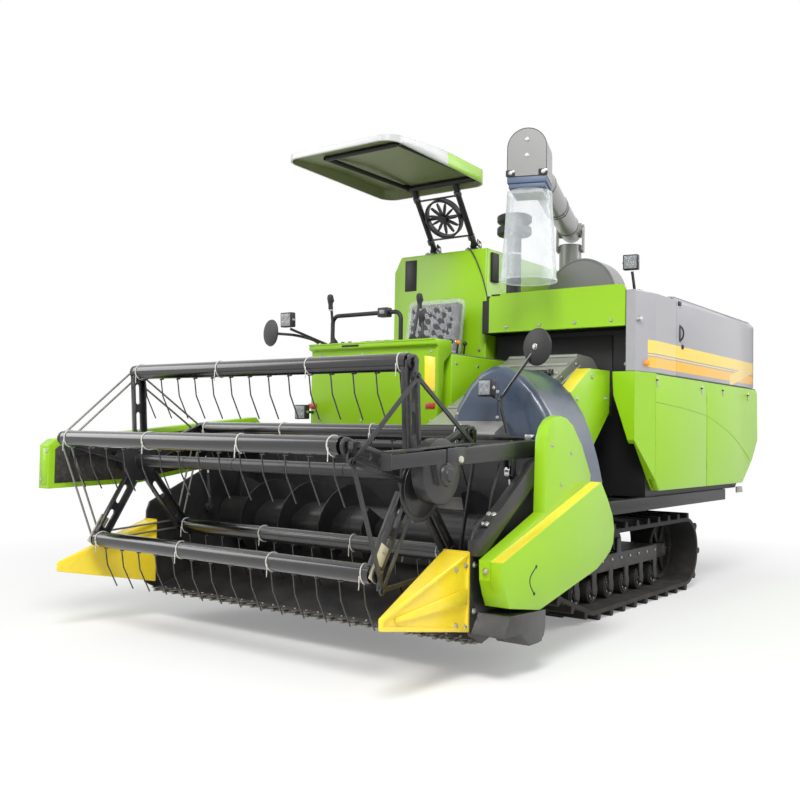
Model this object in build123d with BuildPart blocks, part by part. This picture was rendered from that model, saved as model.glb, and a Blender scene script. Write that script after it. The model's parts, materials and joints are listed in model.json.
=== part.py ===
from build123d import *
from math import atan2, cos, radians, sin
import os

# Tracked rice combine harvester, in millimetres.
# The machine faces -Y, its left side is +X and the floor is at Z = 0.

# Named clearances
SEAT = 0.3          # between two pieces of one body that rest on each other
RUN = 0.3           # radial, round a pin or a shaft that turns
GAP = 8             # between two pieces that move past each other

# Tracks
TRACK_GAUGE = 1240          # between the middles of the two tracks
TRACK_WIDTH = 500
LUG_PITCH = 90
LUG_HEIGHT = 35
LUG_REACH = 60              # how far a lug runs past the track's middle
BELT_THICKNESS = 25
BELT_INSIDE = LUG_HEIGHT + BELT_THICKNESS
IDLER_RADIUS = 210
SPROCKET_RADIUS = 155
ROLLER_RADIUS = 75
IDLER_Y = 1150
SPROCKET_Y, SPROCKET_Z = -685, 330
ROLLER_WIDTH = 250
FRONT_ROLLER_Y, REAR_ROLLER_Y, ROLLER_COUNT = -350, 850, 6
ROLLER_Z = BELT_INSIDE + ROLLER_RADIUS
IDLER_Z = BELT_INSIDE + IDLER_RADIUS
TRACK_TOP = IDLER_Z + IDLER_RADIUS + BELT_INSIDE
AXLE_RADIUS = 22

# Chassis
RAIL_X, RAIL_WIDTH = 330, 80
RAIL_BOTTOM, RAIL_TOP = 600, 690
RAIL_FRONT, RAIL_REAR = -680, 2000
FRAME_BOTTOM, FRAME_TOP = 235, 335
FRAME_HALF_WIDTH = ROLLER_WIDTH / 2 + SEAT + 15
CROSS_TUBES_Y = (-300, 275, 850)
CROSS_TUBE_END = TRACK_GAUGE / 2 - FRAME_HALF_WIDTH - SEAT
OUTRIGGER_REACH = 940
OUTRIGGERS_Y = (-600, 0, 900, 1750)

# Body
BODY_LEFT = 980             # outer plane of the left covers
BODY_RIGHT = -985
COVER_THICKNESS = 36
BODY_TOP = 1975
SEAM_Z = 1469               # between the grey upper covers and the green doors
DECK_Z = RAIL_TOP + SEAT    # the level that the body stands on
DOOR_BOTTOM = 730
NOSE_Y = 50                 # front face of the name panel
HOUSING_FRONT, HOUSING_REAR = 260, 2395
HOUSING_RIGHT = -170
CORE_LEFT = BODY_LEFT - COVER_THICKNESS - 19
CORNER_Y = 278              # where the front chamfer meets the side plane
LID_FRONT = 640
LID_INNER_X = 488
LID_HINGE_X, LID_HINGE_Z, LID_HINGES_Y = 470, 1994, (800, 2150)
DOOR_SEAM_Y = 1245
DOOR_GAP = 5                # from a door's edge to the middle of the seam
DOOR_HINGE_X, DOOR_HINGE_SETBACK = 962, 20
CORNER_FOOT_Y, CORNER_FOOT_Z = 352, 803     # where the doors' sloping lower front corner starts
DOOR_HINGES_Z = (870, 1340)
HINGE_PIN = 6
PANEL_BOTTOM, PANEL_TOP = 1750, 2012
PANEL_RIGHT, PANEL_LEFT = -105, 871

# Grain tank and operator's station
TANK_FRONT, TANK_REAR = 150, 1650
TANK_LEFT, TANK_TOP = -189, 2360
CONSOLE_FRONT, CONSOLE_LEFT = -750, 30
FLOOR_Z = 1098
CONSOLE_TOP = 1636
POST_X = (-685, -340)
POST_FOOT_Y, POST_HEAD_Y, POST_HEAD_Z = 250, -50, TANK_TOP + 436
CANOPY_RIGHT, CANOPY_LEFT = -950, -90
CANOPY_FRONT, CANOPY_REAR = -1095, 0
CANOPY_TOP = POST_HEAD_Z + 54

# Feeder and header
LIFT_Y, LIFT_Z = 60, 1380
FEEDER_END_RADIUS = 190
FEEDER_RIGHT, FEEDER_LEFT = 120, 620
BACK_Y, BACK_TOP = -1080, 1045
HEADER_RIGHT, HEADER_LEFT = -1130, 1040
SIDE_THICKNESS = 14
SIDE_FRONT_Y = -1960
BEAM_INNER = 1024           # box beam along the top of the left side plate
SHIELD_INNER, SHIELD_TAB_OUTER, SHIELD_OUTER = 1075, 1135, 1195
AUGER_Y, AUGER_Z = -1325, 565
AUGER_TUBE_RADIUS, AUGER_STUB = 95, 25
FLOOR_FRONT_Y, FLOOR_FRONT_Z = -1860, 172
SHEET = 8
SKID_LEFT = 1200
SKID_FRONT, SKID_REAR = -1890, -1573
SKID_TOP, SKID_BOTTOM, SHOE_BOTTOM = 290, 205, 140
ARM_PIVOT_Y, ARM_PIVOT_Z = -1180, 1000
LEFT_ARM_X, RIGHT_ARM_X = 990, -1083
ARM_WIDTH = 50

# Reel
REEL_Y, REEL_Z = -2116, 890
BAR_CIRCLE = 480
BAR_RADIUS = 40
BAR_RIGHT, BAR_LEFT = -990, 830
BAR_COUNT, FIRST_BAR_ANGLE = 5, 21.8
TINE_COUNT, TINE_PITCH, TINE_RADIUS = 14, 132, 3.5
TINE_DROP, TINE_LEAN = 225, 85
SPIDER_THICKNESS = 12
CRANK = 62
ECCENTRIC_RADIUS = 125      # disc under the control ring, one crank's length off the reel's axis
RING_X, RING_THICKNESS = 875, 8

# Unloading auger
COLUMN_X, COLUMN_Y, COLUMN_TOP = -370, 1790, TANK_TOP + 311
TRUNNION_RISE = 125          # from the column's top to the tube's pivot
COLUMN_RADIUS = 92
TUBE_RADIUS, TUBE_TAIL = 88, 80
HEAD_X, HEAD_Y, HEAD_Z = 421, -400, TANK_TOP + 400
HEAD_HALF_WIDTH, HEAD_DEPTH = 122, 240
HEAD_TOP, HEAD_BOTTOM, CHUTE_BOTTOM = HEAD_Z + 180, HEAD_Z - 120, HEAD_Z - 215
SLEEVE_TOP, SLEEVE_TOP_RADIUS = CHUTE_BOTTOM + 25, 142
SLEEVE_BOTTOM, SLEEVE_BOTTOM_RADIUS = SLEEVE_TOP - 558, 180
SLEEVE_WALL = 6
CHUTE_HALF = (SLEEVE_TOP_RADIUS - SLEEVE_WALL - SEAT) * sin(radians(45))

os.makedirs("parts", exist_ok=True)


def across(points, x_start, x_end, mode=Mode.ADD):
    """Extrudes an outline of (y, z) points across the machine."""
    with BuildSketch(Plane.YZ.offset(x_start)) as outline:
        with BuildLine():
            Polyline(*points, close=True)
        make_face()
    extrude(outline.sketch, amount=x_end - x_start, mode=mode)


def rearward(points, y_start, y_end, mode=Mode.ADD):
    """Extrudes an outline of (x, z) points from front to rear."""
    with BuildSketch(Plane.XZ.offset(-y_end)) as outline:
        with BuildLine():
            Polyline(*points, close=True)
        make_face()
    extrude(outline.sketch, amount=y_end - y_start, mode=mode)


def upward(points, z_start, z_end, mode=Mode.ADD):
    """Extrudes a plan of (x, y) points upwards."""
    with BuildSketch(Plane.XY.offset(z_start)) as outline:
        with BuildLine():
            Polyline(*points, close=True)
        make_face()
    extrude(outline.sketch, amount=z_end - z_start, mode=mode)


def block(x_low, x_high, y_low, y_high, z_low, z_high, mode=Mode.ADD):
    """A box between two corners."""
    with Locations(((x_low + x_high) / 2, (y_low + y_high) / 2, (z_low + z_high) / 2)):
        Box(x_high - x_low, y_high - y_low, z_high - z_low, mode=mode)


def rod(start, end, radius, mode=Mode.ADD):
    """A round bar from one point to another."""
    reach = Vector(*end) - Vector(*start)
    with BuildSketch(Plane(origin=start, z_dir=reach)) as outline:
        Circle(radius)
    extrude(outline.sketch, amount=reach.length, mode=mode)


def footed_rod(foot, tip, radius):
    """A slanting bar that stands on a small round foot."""
    x, y, z = foot
    rod((x, y, z + SEAT), (x, y, z + radius + 4), radius * 1.8)
    rod((x, y, z + radius + 2), tip, radius)


def save(piece, name):
    """Labels a finished piece and writes it under its name."""
    piece.part.label = name
    export_step(piece.part, f"parts/{name}.step")


# Tracks: a belt round the wheels, with staggered lugs
LOOP_WHEELS = (  # y, z, radius
    (IDLER_Y, IDLER_Z, IDLER_RADIUS),
    (SPROCKET_Y, SPROCKET_Z, SPROCKET_RADIUS),
    (FRONT_ROLLER_Y, ROLLER_Z, ROLLER_RADIUS),
)


def loop_face(x, growth):
    """The side view of the loop, grown outwards from the belt's inside."""
    with BuildSketch(Plane.YZ.offset(x)) as loop:
        for y, z, radius in LOOP_WHEELS:
            with Locations((y, z)):
                Circle(radius + growth)
        make_hull()
    return loop.sketch.face()


for side, name in ((1, "track_left"), (-1, "track_right")):
    inner_edge = side * TRACK_GAUGE / 2 - TRACK_WIDTH / 2
    belt_outside = loop_face(inner_edge, BELT_THICKNESS)
    belt_inside = loop_face(inner_edge, 0)
    path = belt_outside.outer_wire()
    lug_count = 2 * round(path.length / LUG_PITCH / 2)
    with BuildPart() as track:
        extrude(belt_outside, amount=TRACK_WIDTH)
        extrude(belt_inside, amount=TRACK_WIDTH, mode=Mode.SUBTRACT)
        for lug in range(lug_count):
            at = path.position_at(lug / lug_count)
            ahead = path.tangent_at(lug / lug_count)
            out = ahead.cross(Vector(1, 0, 0))
            if (at - Vector(inner_edge, IDLER_Y / 3, IDLER_Z)).dot(out) < 0:
                out = -out
            reach = TRACK_WIDTH / 2 + LUG_REACH
            start = inner_edge if lug % 2 else inner_edge + TRACK_WIDTH - reach
            foot = Vector(start, at.Y, at.Z) - out * 4
            with BuildSketch(Plane(origin=foot, x_dir=ahead, z_dir=Vector(1, 0, 0))) as lug_end:
                height = LUG_HEIGHT + 4 if lug_end.workplanes[0].y_dir.dot(out) > 0 else -LUG_HEIGHT - 4
                with BuildLine():
                    Polyline((-24, 0), (-15, height), (15, height), (24, 0), close=True)
                make_face()
            extrude(lug_end.sketch, amount=reach)
    save(track, name)

# Rollers, idlers and sprockets inside the loops
roller_step = (REAR_ROLLER_Y - FRONT_ROLLER_Y) / (ROLLER_COUNT - 1)
UPPER_ROLLER_Y, UPPER_ROLLER_RADIUS = 250, 65
UPPER_ROLLER_Z = TRACK_TOP - BELT_INSIDE - UPPER_ROLLER_RADIUS - 14
SPROCKET_HALF = 45
TOOTH_COUNT = 11
with BuildPart() as track_wheels:
    for side in (1, -1):
        middle = side * TRACK_GAUGE / 2
        stations = [(FRONT_ROLLER_Y + i * roller_step, ROLLER_Z,
                     ROLLER_RADIUS) for i in range(ROLLER_COUNT)]
        stations.append((UPPER_ROLLER_Y, UPPER_ROLLER_Z, UPPER_ROLLER_RADIUS))
        for y, z, radius in stations:
            half = ROLLER_WIDTH / 2
            rod((middle - half, y, z), (middle + half, y, z), radius - SEAT)
            rod((middle - 45, y, z), (middle + 45, y, z), radius * 2, mode=Mode.SUBTRACT)
            rod((middle - half, y, z), (middle + half, y, z), AXLE_RADIUS + 20)
        rod((middle - 60, IDLER_Y, IDLER_Z), (middle + 60, IDLER_Y, IDLER_Z), IDLER_RADIUS - SEAT)
        for face in (-1, 1):
            flat = middle + face * 60
            rod((flat, IDLER_Y, IDLER_Z), (flat - face * 35, IDLER_Y, IDLER_Z), IDLER_RADIUS - 30,
                mode=Mode.SUBTRACT)
        rod((middle - 60, IDLER_Y, IDLER_Z), (middle + 60, IDLER_Y, IDLER_Z), 55)
        with BuildSketch(Plane.YZ.offset(middle - SPROCKET_HALF)):
            with Locations((SPROCKET_Y, SPROCKET_Z)):
                Circle(SPROCKET_RADIUS - 28)
                with PolarLocations(SPROCKET_RADIUS - 22, TOOTH_COUNT):
                    RectangleRounded(42, 36, 8)
        extrude(amount=2 * SPROCKET_HALF)
        rod((middle - 70, SPROCKET_Y, SPROCKET_Z), (middle + 70, SPROCKET_Y, SPROCKET_Z), 62)
save(track_wheels, "track_wheels")

with BuildPart() as drive_gearbox:
    block(-200, 200, SPROCKET_Y - 110, SPROCKET_Y + 105, 215, 345)
    for side in (1, -1):
        block(*sorted((side * 200, side * 345)), SPROCKET_Y - 80, SPROCKET_Y + 80, 240, 420)
        block(*sorted((side * 295, side * 345)), SPROCKET_Y - 60, SPROCKET_Y + 60, 420, RAIL_BOTTOM)
        middle = TRACK_GAUGE / 2 - 70 - SEAT
        rod((side * 345, SPROCKET_Y, SPROCKET_Z), (side * middle, SPROCKET_Y, SPROCKET_Z), 62)
save(drive_gearbox, "drive_gearbox")

# Chassis: two rails with cross members, the sills outside them, and the beams that carry the rollers
LIFT_BASE_X, LIFT_BASE_Y, LIFT_BASE_Z = 60, -10, 545
PIN_RADIUS = 15
TIE_PLATE, TIE_RADIUS = 16, 16
TIE_Z = (RAIL_BOTTOM + RAIL_TOP) / 2
with BuildPart() as chassis_frame:
    for side in (1, -1):
        inner, outer = sorted((side * (RAIL_X - RAIL_WIDTH / 2), side * (RAIL_X + RAIL_WIDTH / 2)))
        block(inner, outer, RAIL_FRONT, RAIL_REAR, RAIL_BOTTOM, RAIL_TOP)
        x = side * RAIL_X
        block(x - TIE_PLATE / 2, x + TIE_PLATE / 2, RAIL_REAR - 5, RAIL_REAR + 80, RAIL_BOTTOM + 5,
              RAIL_TOP - 5)
        rod((x - 40, RAIL_REAR + 45, TIE_Z), (x + 40, RAIL_REAR + 45, TIE_Z), TIE_RADIUS,
            mode=Mode.SUBTRACT)
    for y in OUTRIGGERS_Y[1:]:
        block(-RAIL_X, RAIL_X, y - 35, y + 35, RAIL_BOTTOM + 10, RAIL_TOP)
    for ear in (-1, 1):
        ear_x = LIFT_BASE_X + ear * 46
        block(ear_x - 8, ear_x + 8, LIFT_BASE_Y - 28, LIFT_BASE_Y + 28, LIFT_BASE_Z - 25,
              RAIL_BOTTOM + 20)
    rod((LIFT_BASE_X - 46, LIFT_BASE_Y, LIFT_BASE_Z), (LIFT_BASE_X + 46, LIFT_BASE_Y, LIFT_BASE_Z),
        PIN_RADIUS)
save(chassis_frame, "chassis_frame")

with BuildPart() as side_sills:
    for side in (1, -1):
        start = side * (RAIL_X + RAIL_WIDTH / 2 + SEAT)
        for y in OUTRIGGERS_Y:
            block(*sorted((start, side * OUTRIGGER_REACH)), y - 35, y + 35, RAIL_BOTTOM + 10, RAIL_TOP)
        block(*sorted((side * (OUTRIGGER_REACH - 50), side * OUTRIGGER_REACH)), -635, 1785,
              RAIL_BOTTOM + 10, RAIL_TOP)
save(side_sills, "side_sills")

with BuildPart() as track_frames:
    for side in (1, -1):
        middle = side * TRACK_GAUGE / 2
        block(middle - FRAME_HALF_WIDTH, middle + FRAME_HALF_WIDTH, -480, 880, FRAME_BOTTOM, FRAME_TOP)
        for i in range(ROLLER_COUNT):
            y = FRONT_ROLLER_Y + i * roller_step
            for face in (-1, 1):
                plate = middle + face * (FRAME_HALF_WIDTH - 7.5)
                block(plate - 7.5, plate + 7.5, y - 30, y + 30, ROLLER_Z - 25, FRAME_BOTTOM)
        for face in (-1, 1):
            plate = middle + face * (60 + SEAT + 12)
            across(((800, 235), (800, 335), (IDLER_Y + 45, 315), (IDLER_Y + 45, 225), (900, 225)),
                   plate - 12, plate + 12)
            plate = middle + face * (FRAME_HALF_WIDTH - 7.5)
            block(plate - 7.5, plate + 7.5, UPPER_ROLLER_Y - 30, UPPER_ROLLER_Y + 30,
                  FRAME_TOP, UPPER_ROLLER_Z + 25)
    for y in CROSS_TUBES_Y:
        block(-CROSS_TUBE_END, CROSS_TUBE_END, y - 45, y + 45, FRAME_BOTTOM, FRAME_TOP)
        for rail in (-RAIL_X, RAIL_X):
            block(rail - RAIL_WIDTH / 2, rail + RAIL_WIDTH / 2, y - 50, y + 50, FRAME_TOP - 5,
                  RAIL_BOTTOM - SEAT)
save(track_frames, "track_frames")

# Threshing body
with BuildPart() as thresher_housing:
    across(((HOUSING_FRONT, DECK_Z), (HOUSING_FRONT, PANEL_BOTTOM), (NOSE_Y + 22, PANEL_BOTTOM),
            (NOSE_Y + 22, BODY_TOP), (2325, BODY_TOP), (HOUSING_REAR, 1450), (2310, 905), (2065, DECK_Z)),
           HOUSING_RIGHT, CORE_LEFT)
    for ear in (FEEDER_RIGHT - GAP - 20, FEEDER_LEFT + GAP):
        block(ear, ear + 20, LIFT_Y - 50, HOUSING_FRONT, LIFT_Z - 60, LIFT_Z + 60)
    rod((FEEDER_RIGHT - GAP - 20, LIFT_Y, LIFT_Z), (FEEDER_RIGHT + 30, LIFT_Y, LIFT_Z), 30)
    rod((FEEDER_LEFT + GAP + 20, LIFT_Y, LIFT_Z), (FEEDER_LEFT - 30, LIFT_Y, LIFT_Z), 30)
    for z in DOOR_HINGES_Z:
        for face in (-1, 1):
            y = DOOR_SEAM_Y + face * (DOOR_GAP + DOOR_HINGE_SETBACK)
            block(CORE_LEFT - 5, DOOR_HINGE_X, y - 7, y + 7, z - 20, z + 20)
            rod((DOOR_HINGE_X, y, z - 45), (DOOR_HINGE_X, y, z + 45), HINGE_PIN)
    for y in LID_HINGES_Y:
        for end in (-1, 1):
            block(LID_HINGE_X - 10, LID_HINGE_X + 9, y + end * 25 - 5, y + end * 25 + 5, BODY_TOP - 5,
                  LID_HINGE_Z + 8)
        rod((LID_HINGE_X, y - 28, LID_HINGE_Z), (LID_HINGE_X, y + 28, LID_HINGE_Z), HINGE_PIN)
save(thresher_housing, "thresher_housing")

with BuildPart() as front_panels:
    block(PANEL_RIGHT, PANEL_LEFT, NOSE_Y, NOSE_Y + 22 - SEAT, PANEL_BOTTOM, PANEL_TOP)
    fillet(front_panels.edges().filter_by(Axis.Y).group_by(Axis.Z)[-1], 40)
    upward(((790, NOSE_Y + 2), (935, NOSE_Y + 2), (BODY_LEFT, CORNER_Y), (CORE_LEFT + 12, CORNER_Y),
            (CORE_LEFT + 12, 400), (CORE_LEFT + SEAT, 400), (CORE_LEFT + SEAT, NOSE_Y + 22),
            (790, NOSE_Y + 22)),
           DOOR_BOTTOM, SEAM_Z - SEAT)
    rearward(((700, SEAM_Z), (788, SEAM_Z), (797, 1323), (891, 1047), (920, DOOR_BOTTOM - 1),
              (700, DOOR_BOTTOM - 1)),
             NOSE_Y - 10, NOSE_Y + 30, mode=Mode.SUBTRACT)
    across(((NOSE_Y - 10, 1060), (CORNER_Y, CORNER_FOOT_Z), (CORNER_FOOT_Y, DOOR_BOTTOM),
            (CORNER_FOOT_Y, 600),
            (NOSE_Y - 10, 600)), 700, BODY_LEFT + 1, mode=Mode.SUBTRACT)
save(front_panels, "front_panels")

with BuildPart() as corner_cover:
    upward(((PANEL_LEFT + 3, NOSE_Y + 2), (935, NOSE_Y + 2), (BODY_LEFT, CORNER_Y),
            (BODY_LEFT, LID_FRONT - 3),
            (CORE_LEFT + SEAT, LID_FRONT - 3), (CORE_LEFT + SEAT, NOSE_Y + 22 - SEAT),
            (PANEL_LEFT + 3, NOSE_Y + 22 - SEAT)),
           SEAM_Z, BODY_TOP - 2)
save(corner_cover, "corner_cover")

with BuildPart() as elevator_dome:
    block(-175, 375, 1030, 1230, BODY_TOP + SEAT, 2121)
    rod((100, 1030, 2121), (100, 1230, 2121), 275)
    block(-180, 380, 1025, 1235, 1800, BODY_TOP + SEAT, mode=Mode.SUBTRACT)
save(elevator_dome, "elevator_dome")

with BuildPart() as upper_lid:
    rearward(((BODY_LEFT, SEAM_Z + 2), (BODY_LEFT, BODY_TOP - 10), (BODY_LEFT - 40, BODY_TOP + 27),
              (LID_INNER_X, BODY_TOP + 27), (LID_INNER_X, BODY_TOP + 5),
              (BODY_LEFT - COVER_THICKNESS, BODY_TOP + 5),
              (BODY_LEFT - COVER_THICKNESS, SEAM_Z + 2)), LID_FRONT, 2345)
    for y in LID_HINGES_Y:
        block(LID_HINGE_X - 8, LID_INNER_X + 2, y - 14, y + 14, BODY_TOP + 6, BODY_TOP + 27)
        rod((LID_HINGE_X, y - 20, LID_HINGE_Z), (LID_HINGE_X, y + 20, LID_HINGE_Z), HINGE_PIN + RUN,
            mode=Mode.SUBTRACT)
save(upper_lid, "upper_lid")

# Green lower doors: each swings out about an upright line beside their seam
def door(name, outline, face):
    """A lower side cover, hinged beside the seam on the side that faces it."""
    edge = DOOR_SEAM_Y + face * DOOR_GAP
    y_hinge = edge + face * DOOR_HINGE_SETBACK
    with BuildPart() as piece:
        across(outline, BODY_LEFT - COVER_THICKNESS, BODY_LEFT)
        upward(((BODY_LEFT + 1, edge - face), (BODY_LEFT + 1, edge + face * 7),
                (BODY_LEFT - 7, edge - face)),
               DOOR_BOTTOM - 1, SEAM_Z, mode=Mode.SUBTRACT)
        for z in DOOR_HINGES_Z:
            low, high = sorted((edge - face, edge + face * 42))
            block(BODY_LEFT - COVER_THICKNESS - 1, BODY_LEFT - 6, low, high, z - 27, z + 27,
                  mode=Mode.SUBTRACT)
            rod((DOOR_HINGE_X, y_hinge, z - 52), (DOOR_HINGE_X, y_hinge, z + 52), HINGE_PIN + RUN,
                mode=Mode.SUBTRACT)
    save(piece, name)


door("side_door_front", ((CORNER_Y + DOOR_GAP, SEAM_Z - 2), (DOOR_SEAM_Y - DOOR_GAP, SEAM_Z - 2),
                         (DOOR_SEAM_Y - DOOR_GAP, DOOR_BOTTOM), (CORNER_FOOT_Y, DOOR_BOTTOM),
                         (CORNER_Y + DOOR_GAP, CORNER_FOOT_Z)), -1)
door("side_door_rear", ((DOOR_SEAM_Y + DOOR_GAP, SEAM_Z - 2), (2403, SEAM_Z - 2), (2447, 1440),
                        (2467, 1061),
                        (2319, 901), (2071, DOOR_BOTTOM), (DOOR_SEAM_Y + DOOR_GAP, DOOR_BOTTOM)), 1)

with BuildPart() as straw_outlet:
    across(((2387.6, 1400), (2560, 1380), (2620, 1200), (2620, 850), (2560, 760), (2310.5, 905)), -100,
           850)
    across(((2290, 800), (2370, 1370), (2540, 1350), (2595, 1195), (2595, 860), (2560, 700)), -70, 820,
           mode=Mode.SUBTRACT)
save(straw_outlet, "straw_outlet")

# Grain tank, engine and operator's station
with BuildPart() as grain_tank:
    rearward(((BODY_RIGHT, DECK_Z), (BODY_RIGHT, TANK_TOP - 110), (BODY_RIGHT + 60, TANK_TOP),
              (TANK_LEFT, TANK_TOP), (TANK_LEFT, DECK_Z)), TANK_FRONT, TANK_REAR)
save(grain_tank, "grain_tank")

with BuildPart() as engine_block:
    block(-880, -300, -450, 100, DECK_Z, 1020)
save(engine_block, "engine_block")

with BuildPart() as platform:
    block(BODY_RIGHT + 5, CONSOLE_LEFT - 5, CONSOLE_FRONT + 10, TANK_FRONT - 3, FLOOR_Z - 38, FLOOR_Z)
    for x in (BODY_RIGHT + 15, CONSOLE_LEFT - 75):
        for y in (-650, 40):
            block(x, x + 60, y, y + 60, DECK_Z, FLOOR_Z - 38)
save(platform, "platform")

with BuildPart() as front_console:
    across(((CONSOLE_FRONT, FLOOR_Z + SEAT), (CONSOLE_FRONT, 1590), (CONSOLE_FRONT - 30, 1600),
            (CONSOLE_FRONT - 30, CONSOLE_TOP), (-600, CONSOLE_TOP), (-600, 1560), (-680, 1500),
            (-700, FLOOR_Z + SEAT)),
           BODY_RIGHT + 3, CONSOLE_LEFT)
save(front_console, "front_console")

with BuildPart() as side_console:
    block(-150, CONSOLE_LEFT, -600, TANK_FRONT - 3, FLOOR_Z + SEAT, 1555)
save(side_console, "side_console")

SEAT_RIGHT, SEAT_LEFT = -730, -260
SEAT_BACK_Y = -110
with BuildPart() as seat_base:
    block(SEAT_RIGHT + 10, SEAT_LEFT - 10, SEAT_BACK_Y - 290, SEAT_BACK_Y + 40, FLOOR_Z + SEAT, 1500)
save(seat_base, "seat_base")

with BuildPart() as seat_cushion:
    block(SEAT_RIGHT, SEAT_LEFT, SEAT_BACK_Y - 420, SEAT_BACK_Y, 1500 + SEAT, 1610)
    fillet(seat_cushion.edges().filter_by(Axis.Z), 40)
save(seat_cushion, "seat_cushion")

with BuildPart() as seat_back:
    across([(SEAT_BACK_Y + y, z) for y, z in
            ((SEAT, 1500 + SEAT), (40, 1500 + SEAT), (60, 1620), (125, 2000), (65, 2005), (SEAT, 1620))],
           SEAT_RIGHT + 10, SEAT_LEFT - 10)
save(seat_back, "seat_back")

LEVERS = (  # foot, grip, rod radius
    ((-877, -650, CONSOLE_TOP), (-877, -690, 1935), 9),
    ((-253, -620, CONSOLE_TOP), (-253, -550, 1915), 9),
    ((-173, -625, CONSOLE_TOP), (-200, -600, 1790), 9),
    ((-40, -520, 1555), (-25, -530, 1640), 6),
    ((-40, -440, 1555), (-25, -450, 1640), 6),
    ((-40, -360, 1555), (-25, -370, 1640), 6),
)
with BuildPart() as control_levers:
    for foot, grip, radius in LEVERS:
        footed_rod(foot, grip, radius)
        with Locations(grip):
            Sphere(radius * 2.4)
save(control_levers, "control_levers")

HANDRAIL_Y, HANDRAIL_TOP, HANDRAIL_X = -620, 1838, (-916, -349)
with BuildPart() as handrail:
    with BuildLine(Plane.XZ.offset(-HANDRAIL_Y)) as rail_path:
        FilletPolyline((HANDRAIL_X[0], CONSOLE_TOP + SEAT), (HANDRAIL_X[0], HANDRAIL_TOP),
                       (HANDRAIL_X[1], HANDRAIL_TOP),
                       (HANDRAIL_X[1], CONSOLE_TOP + SEAT), radius=50)
    with BuildSketch(Plane(origin=rail_path.line @ 0, z_dir=rail_path.line % 0)):
        Circle(14)
    sweep()
save(handrail, "handrail")

# Canopy on two raked posts
POST_RADIUS = 20
FRAME_TUBE_RADIUS = 16
CANOPY_SHELL = 12
CANOPY_CORNER = 110          # plan radius of the canopy's corners
CANOPY_CREST_Y = -560
CANOPY_EDGE_DROP, CANOPY_REAR_DROP = 35, 20
FRAME_X = (-720, -150)
CANOPY_FRAME_FRONT = -940


def canopy_underside(y):
    """The height of the canopy's inner face at a place along it."""
    if y < CANOPY_CREST_Y:
        slope = CANOPY_EDGE_DROP / (CANOPY_CREST_Y - CANOPY_FRONT - CANOPY_SHELL)
    else:
        slope = -CANOPY_REAR_DROP / (CANOPY_REAR - CANOPY_SHELL - CANOPY_CREST_Y)
    return CANOPY_TOP - CANOPY_SHELL + slope * (y - CANOPY_CREST_Y)


with BuildPart() as canopy_posts:
    for x in POST_X:
        rod((x, POST_FOOT_Y, TANK_TOP + 15), (x, POST_HEAD_Y, POST_HEAD_Z), POST_RADIUS)
        block(x - 45, x + 45, POST_FOOT_Y - 60, POST_FOOT_Y + 50, TANK_TOP + SEAT, TANK_TOP + 16)
    rod((FRAME_X[0], POST_HEAD_Y, POST_HEAD_Z), (FRAME_X[1], POST_HEAD_Y, POST_HEAD_Z), POST_RADIUS)
    rod((FRAME_X[0], CANOPY_FRAME_FRONT, POST_HEAD_Z), (FRAME_X[1], CANOPY_FRAME_FRONT, POST_HEAD_Z),
        FRAME_TUBE_RADIUS)
    for x in FRAME_X:
        rod((x, POST_HEAD_Y, POST_HEAD_Z), (x, CANOPY_FRAME_FRONT, POST_HEAD_Z), FRAME_TUBE_RADIUS)
        for y in (POST_HEAD_Y - 30, CANOPY_FRAME_FRONT + 30):
            top = min(canopy_underside(y - 12), canopy_underside(y + 12)) - SEAT
            block(x - 12, x + 12, y - 12, y + 12, POST_HEAD_Z, top)
save(canopy_posts, "canopy_posts")

with BuildPart() as canopy_hollow:
    across(((CANOPY_FRONT + CANOPY_SHELL, CANOPY_TOP - 150),
            (CANOPY_FRONT + CANOPY_SHELL, canopy_underside(CANOPY_FRONT + CANOPY_SHELL)),
            (CANOPY_CREST_Y, CANOPY_TOP - CANOPY_SHELL),
            (CANOPY_REAR - CANOPY_SHELL, canopy_underside(CANOPY_REAR - CANOPY_SHELL)),
            (CANOPY_REAR - CANOPY_SHELL, CANOPY_TOP - 150)),
           CANOPY_RIGHT + CANOPY_SHELL, CANOPY_LEFT - CANOPY_SHELL)
    fillet(canopy_hollow.edges().filter_by(Axis.Z), CANOPY_CORNER - CANOPY_SHELL)

with BuildPart() as canopy:
    across(((CANOPY_FRONT, CANOPY_TOP - 68), (CANOPY_FRONT, CANOPY_TOP - CANOPY_EDGE_DROP),
            (CANOPY_CREST_Y, CANOPY_TOP), (CANOPY_REAR, CANOPY_TOP - CANOPY_REAR_DROP),
            (CANOPY_REAR, CANOPY_TOP - 105)),
           CANOPY_RIGHT, CANOPY_LEFT)
    fillet(canopy.edges().filter_by(Axis.Z), CANOPY_CORNER)
    add(canopy_hollow.part, mode=Mode.SUBTRACT)
    for x in POST_X:            # notches in the rear rim, round the leaning posts
        rod((x, POST_FOOT_Y, TANK_TOP + 15), (x, POST_HEAD_Y, POST_HEAD_Z), POST_RADIUS + SEAT,
            mode=Mode.SUBTRACT)
save(canopy, "canopy")

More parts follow.
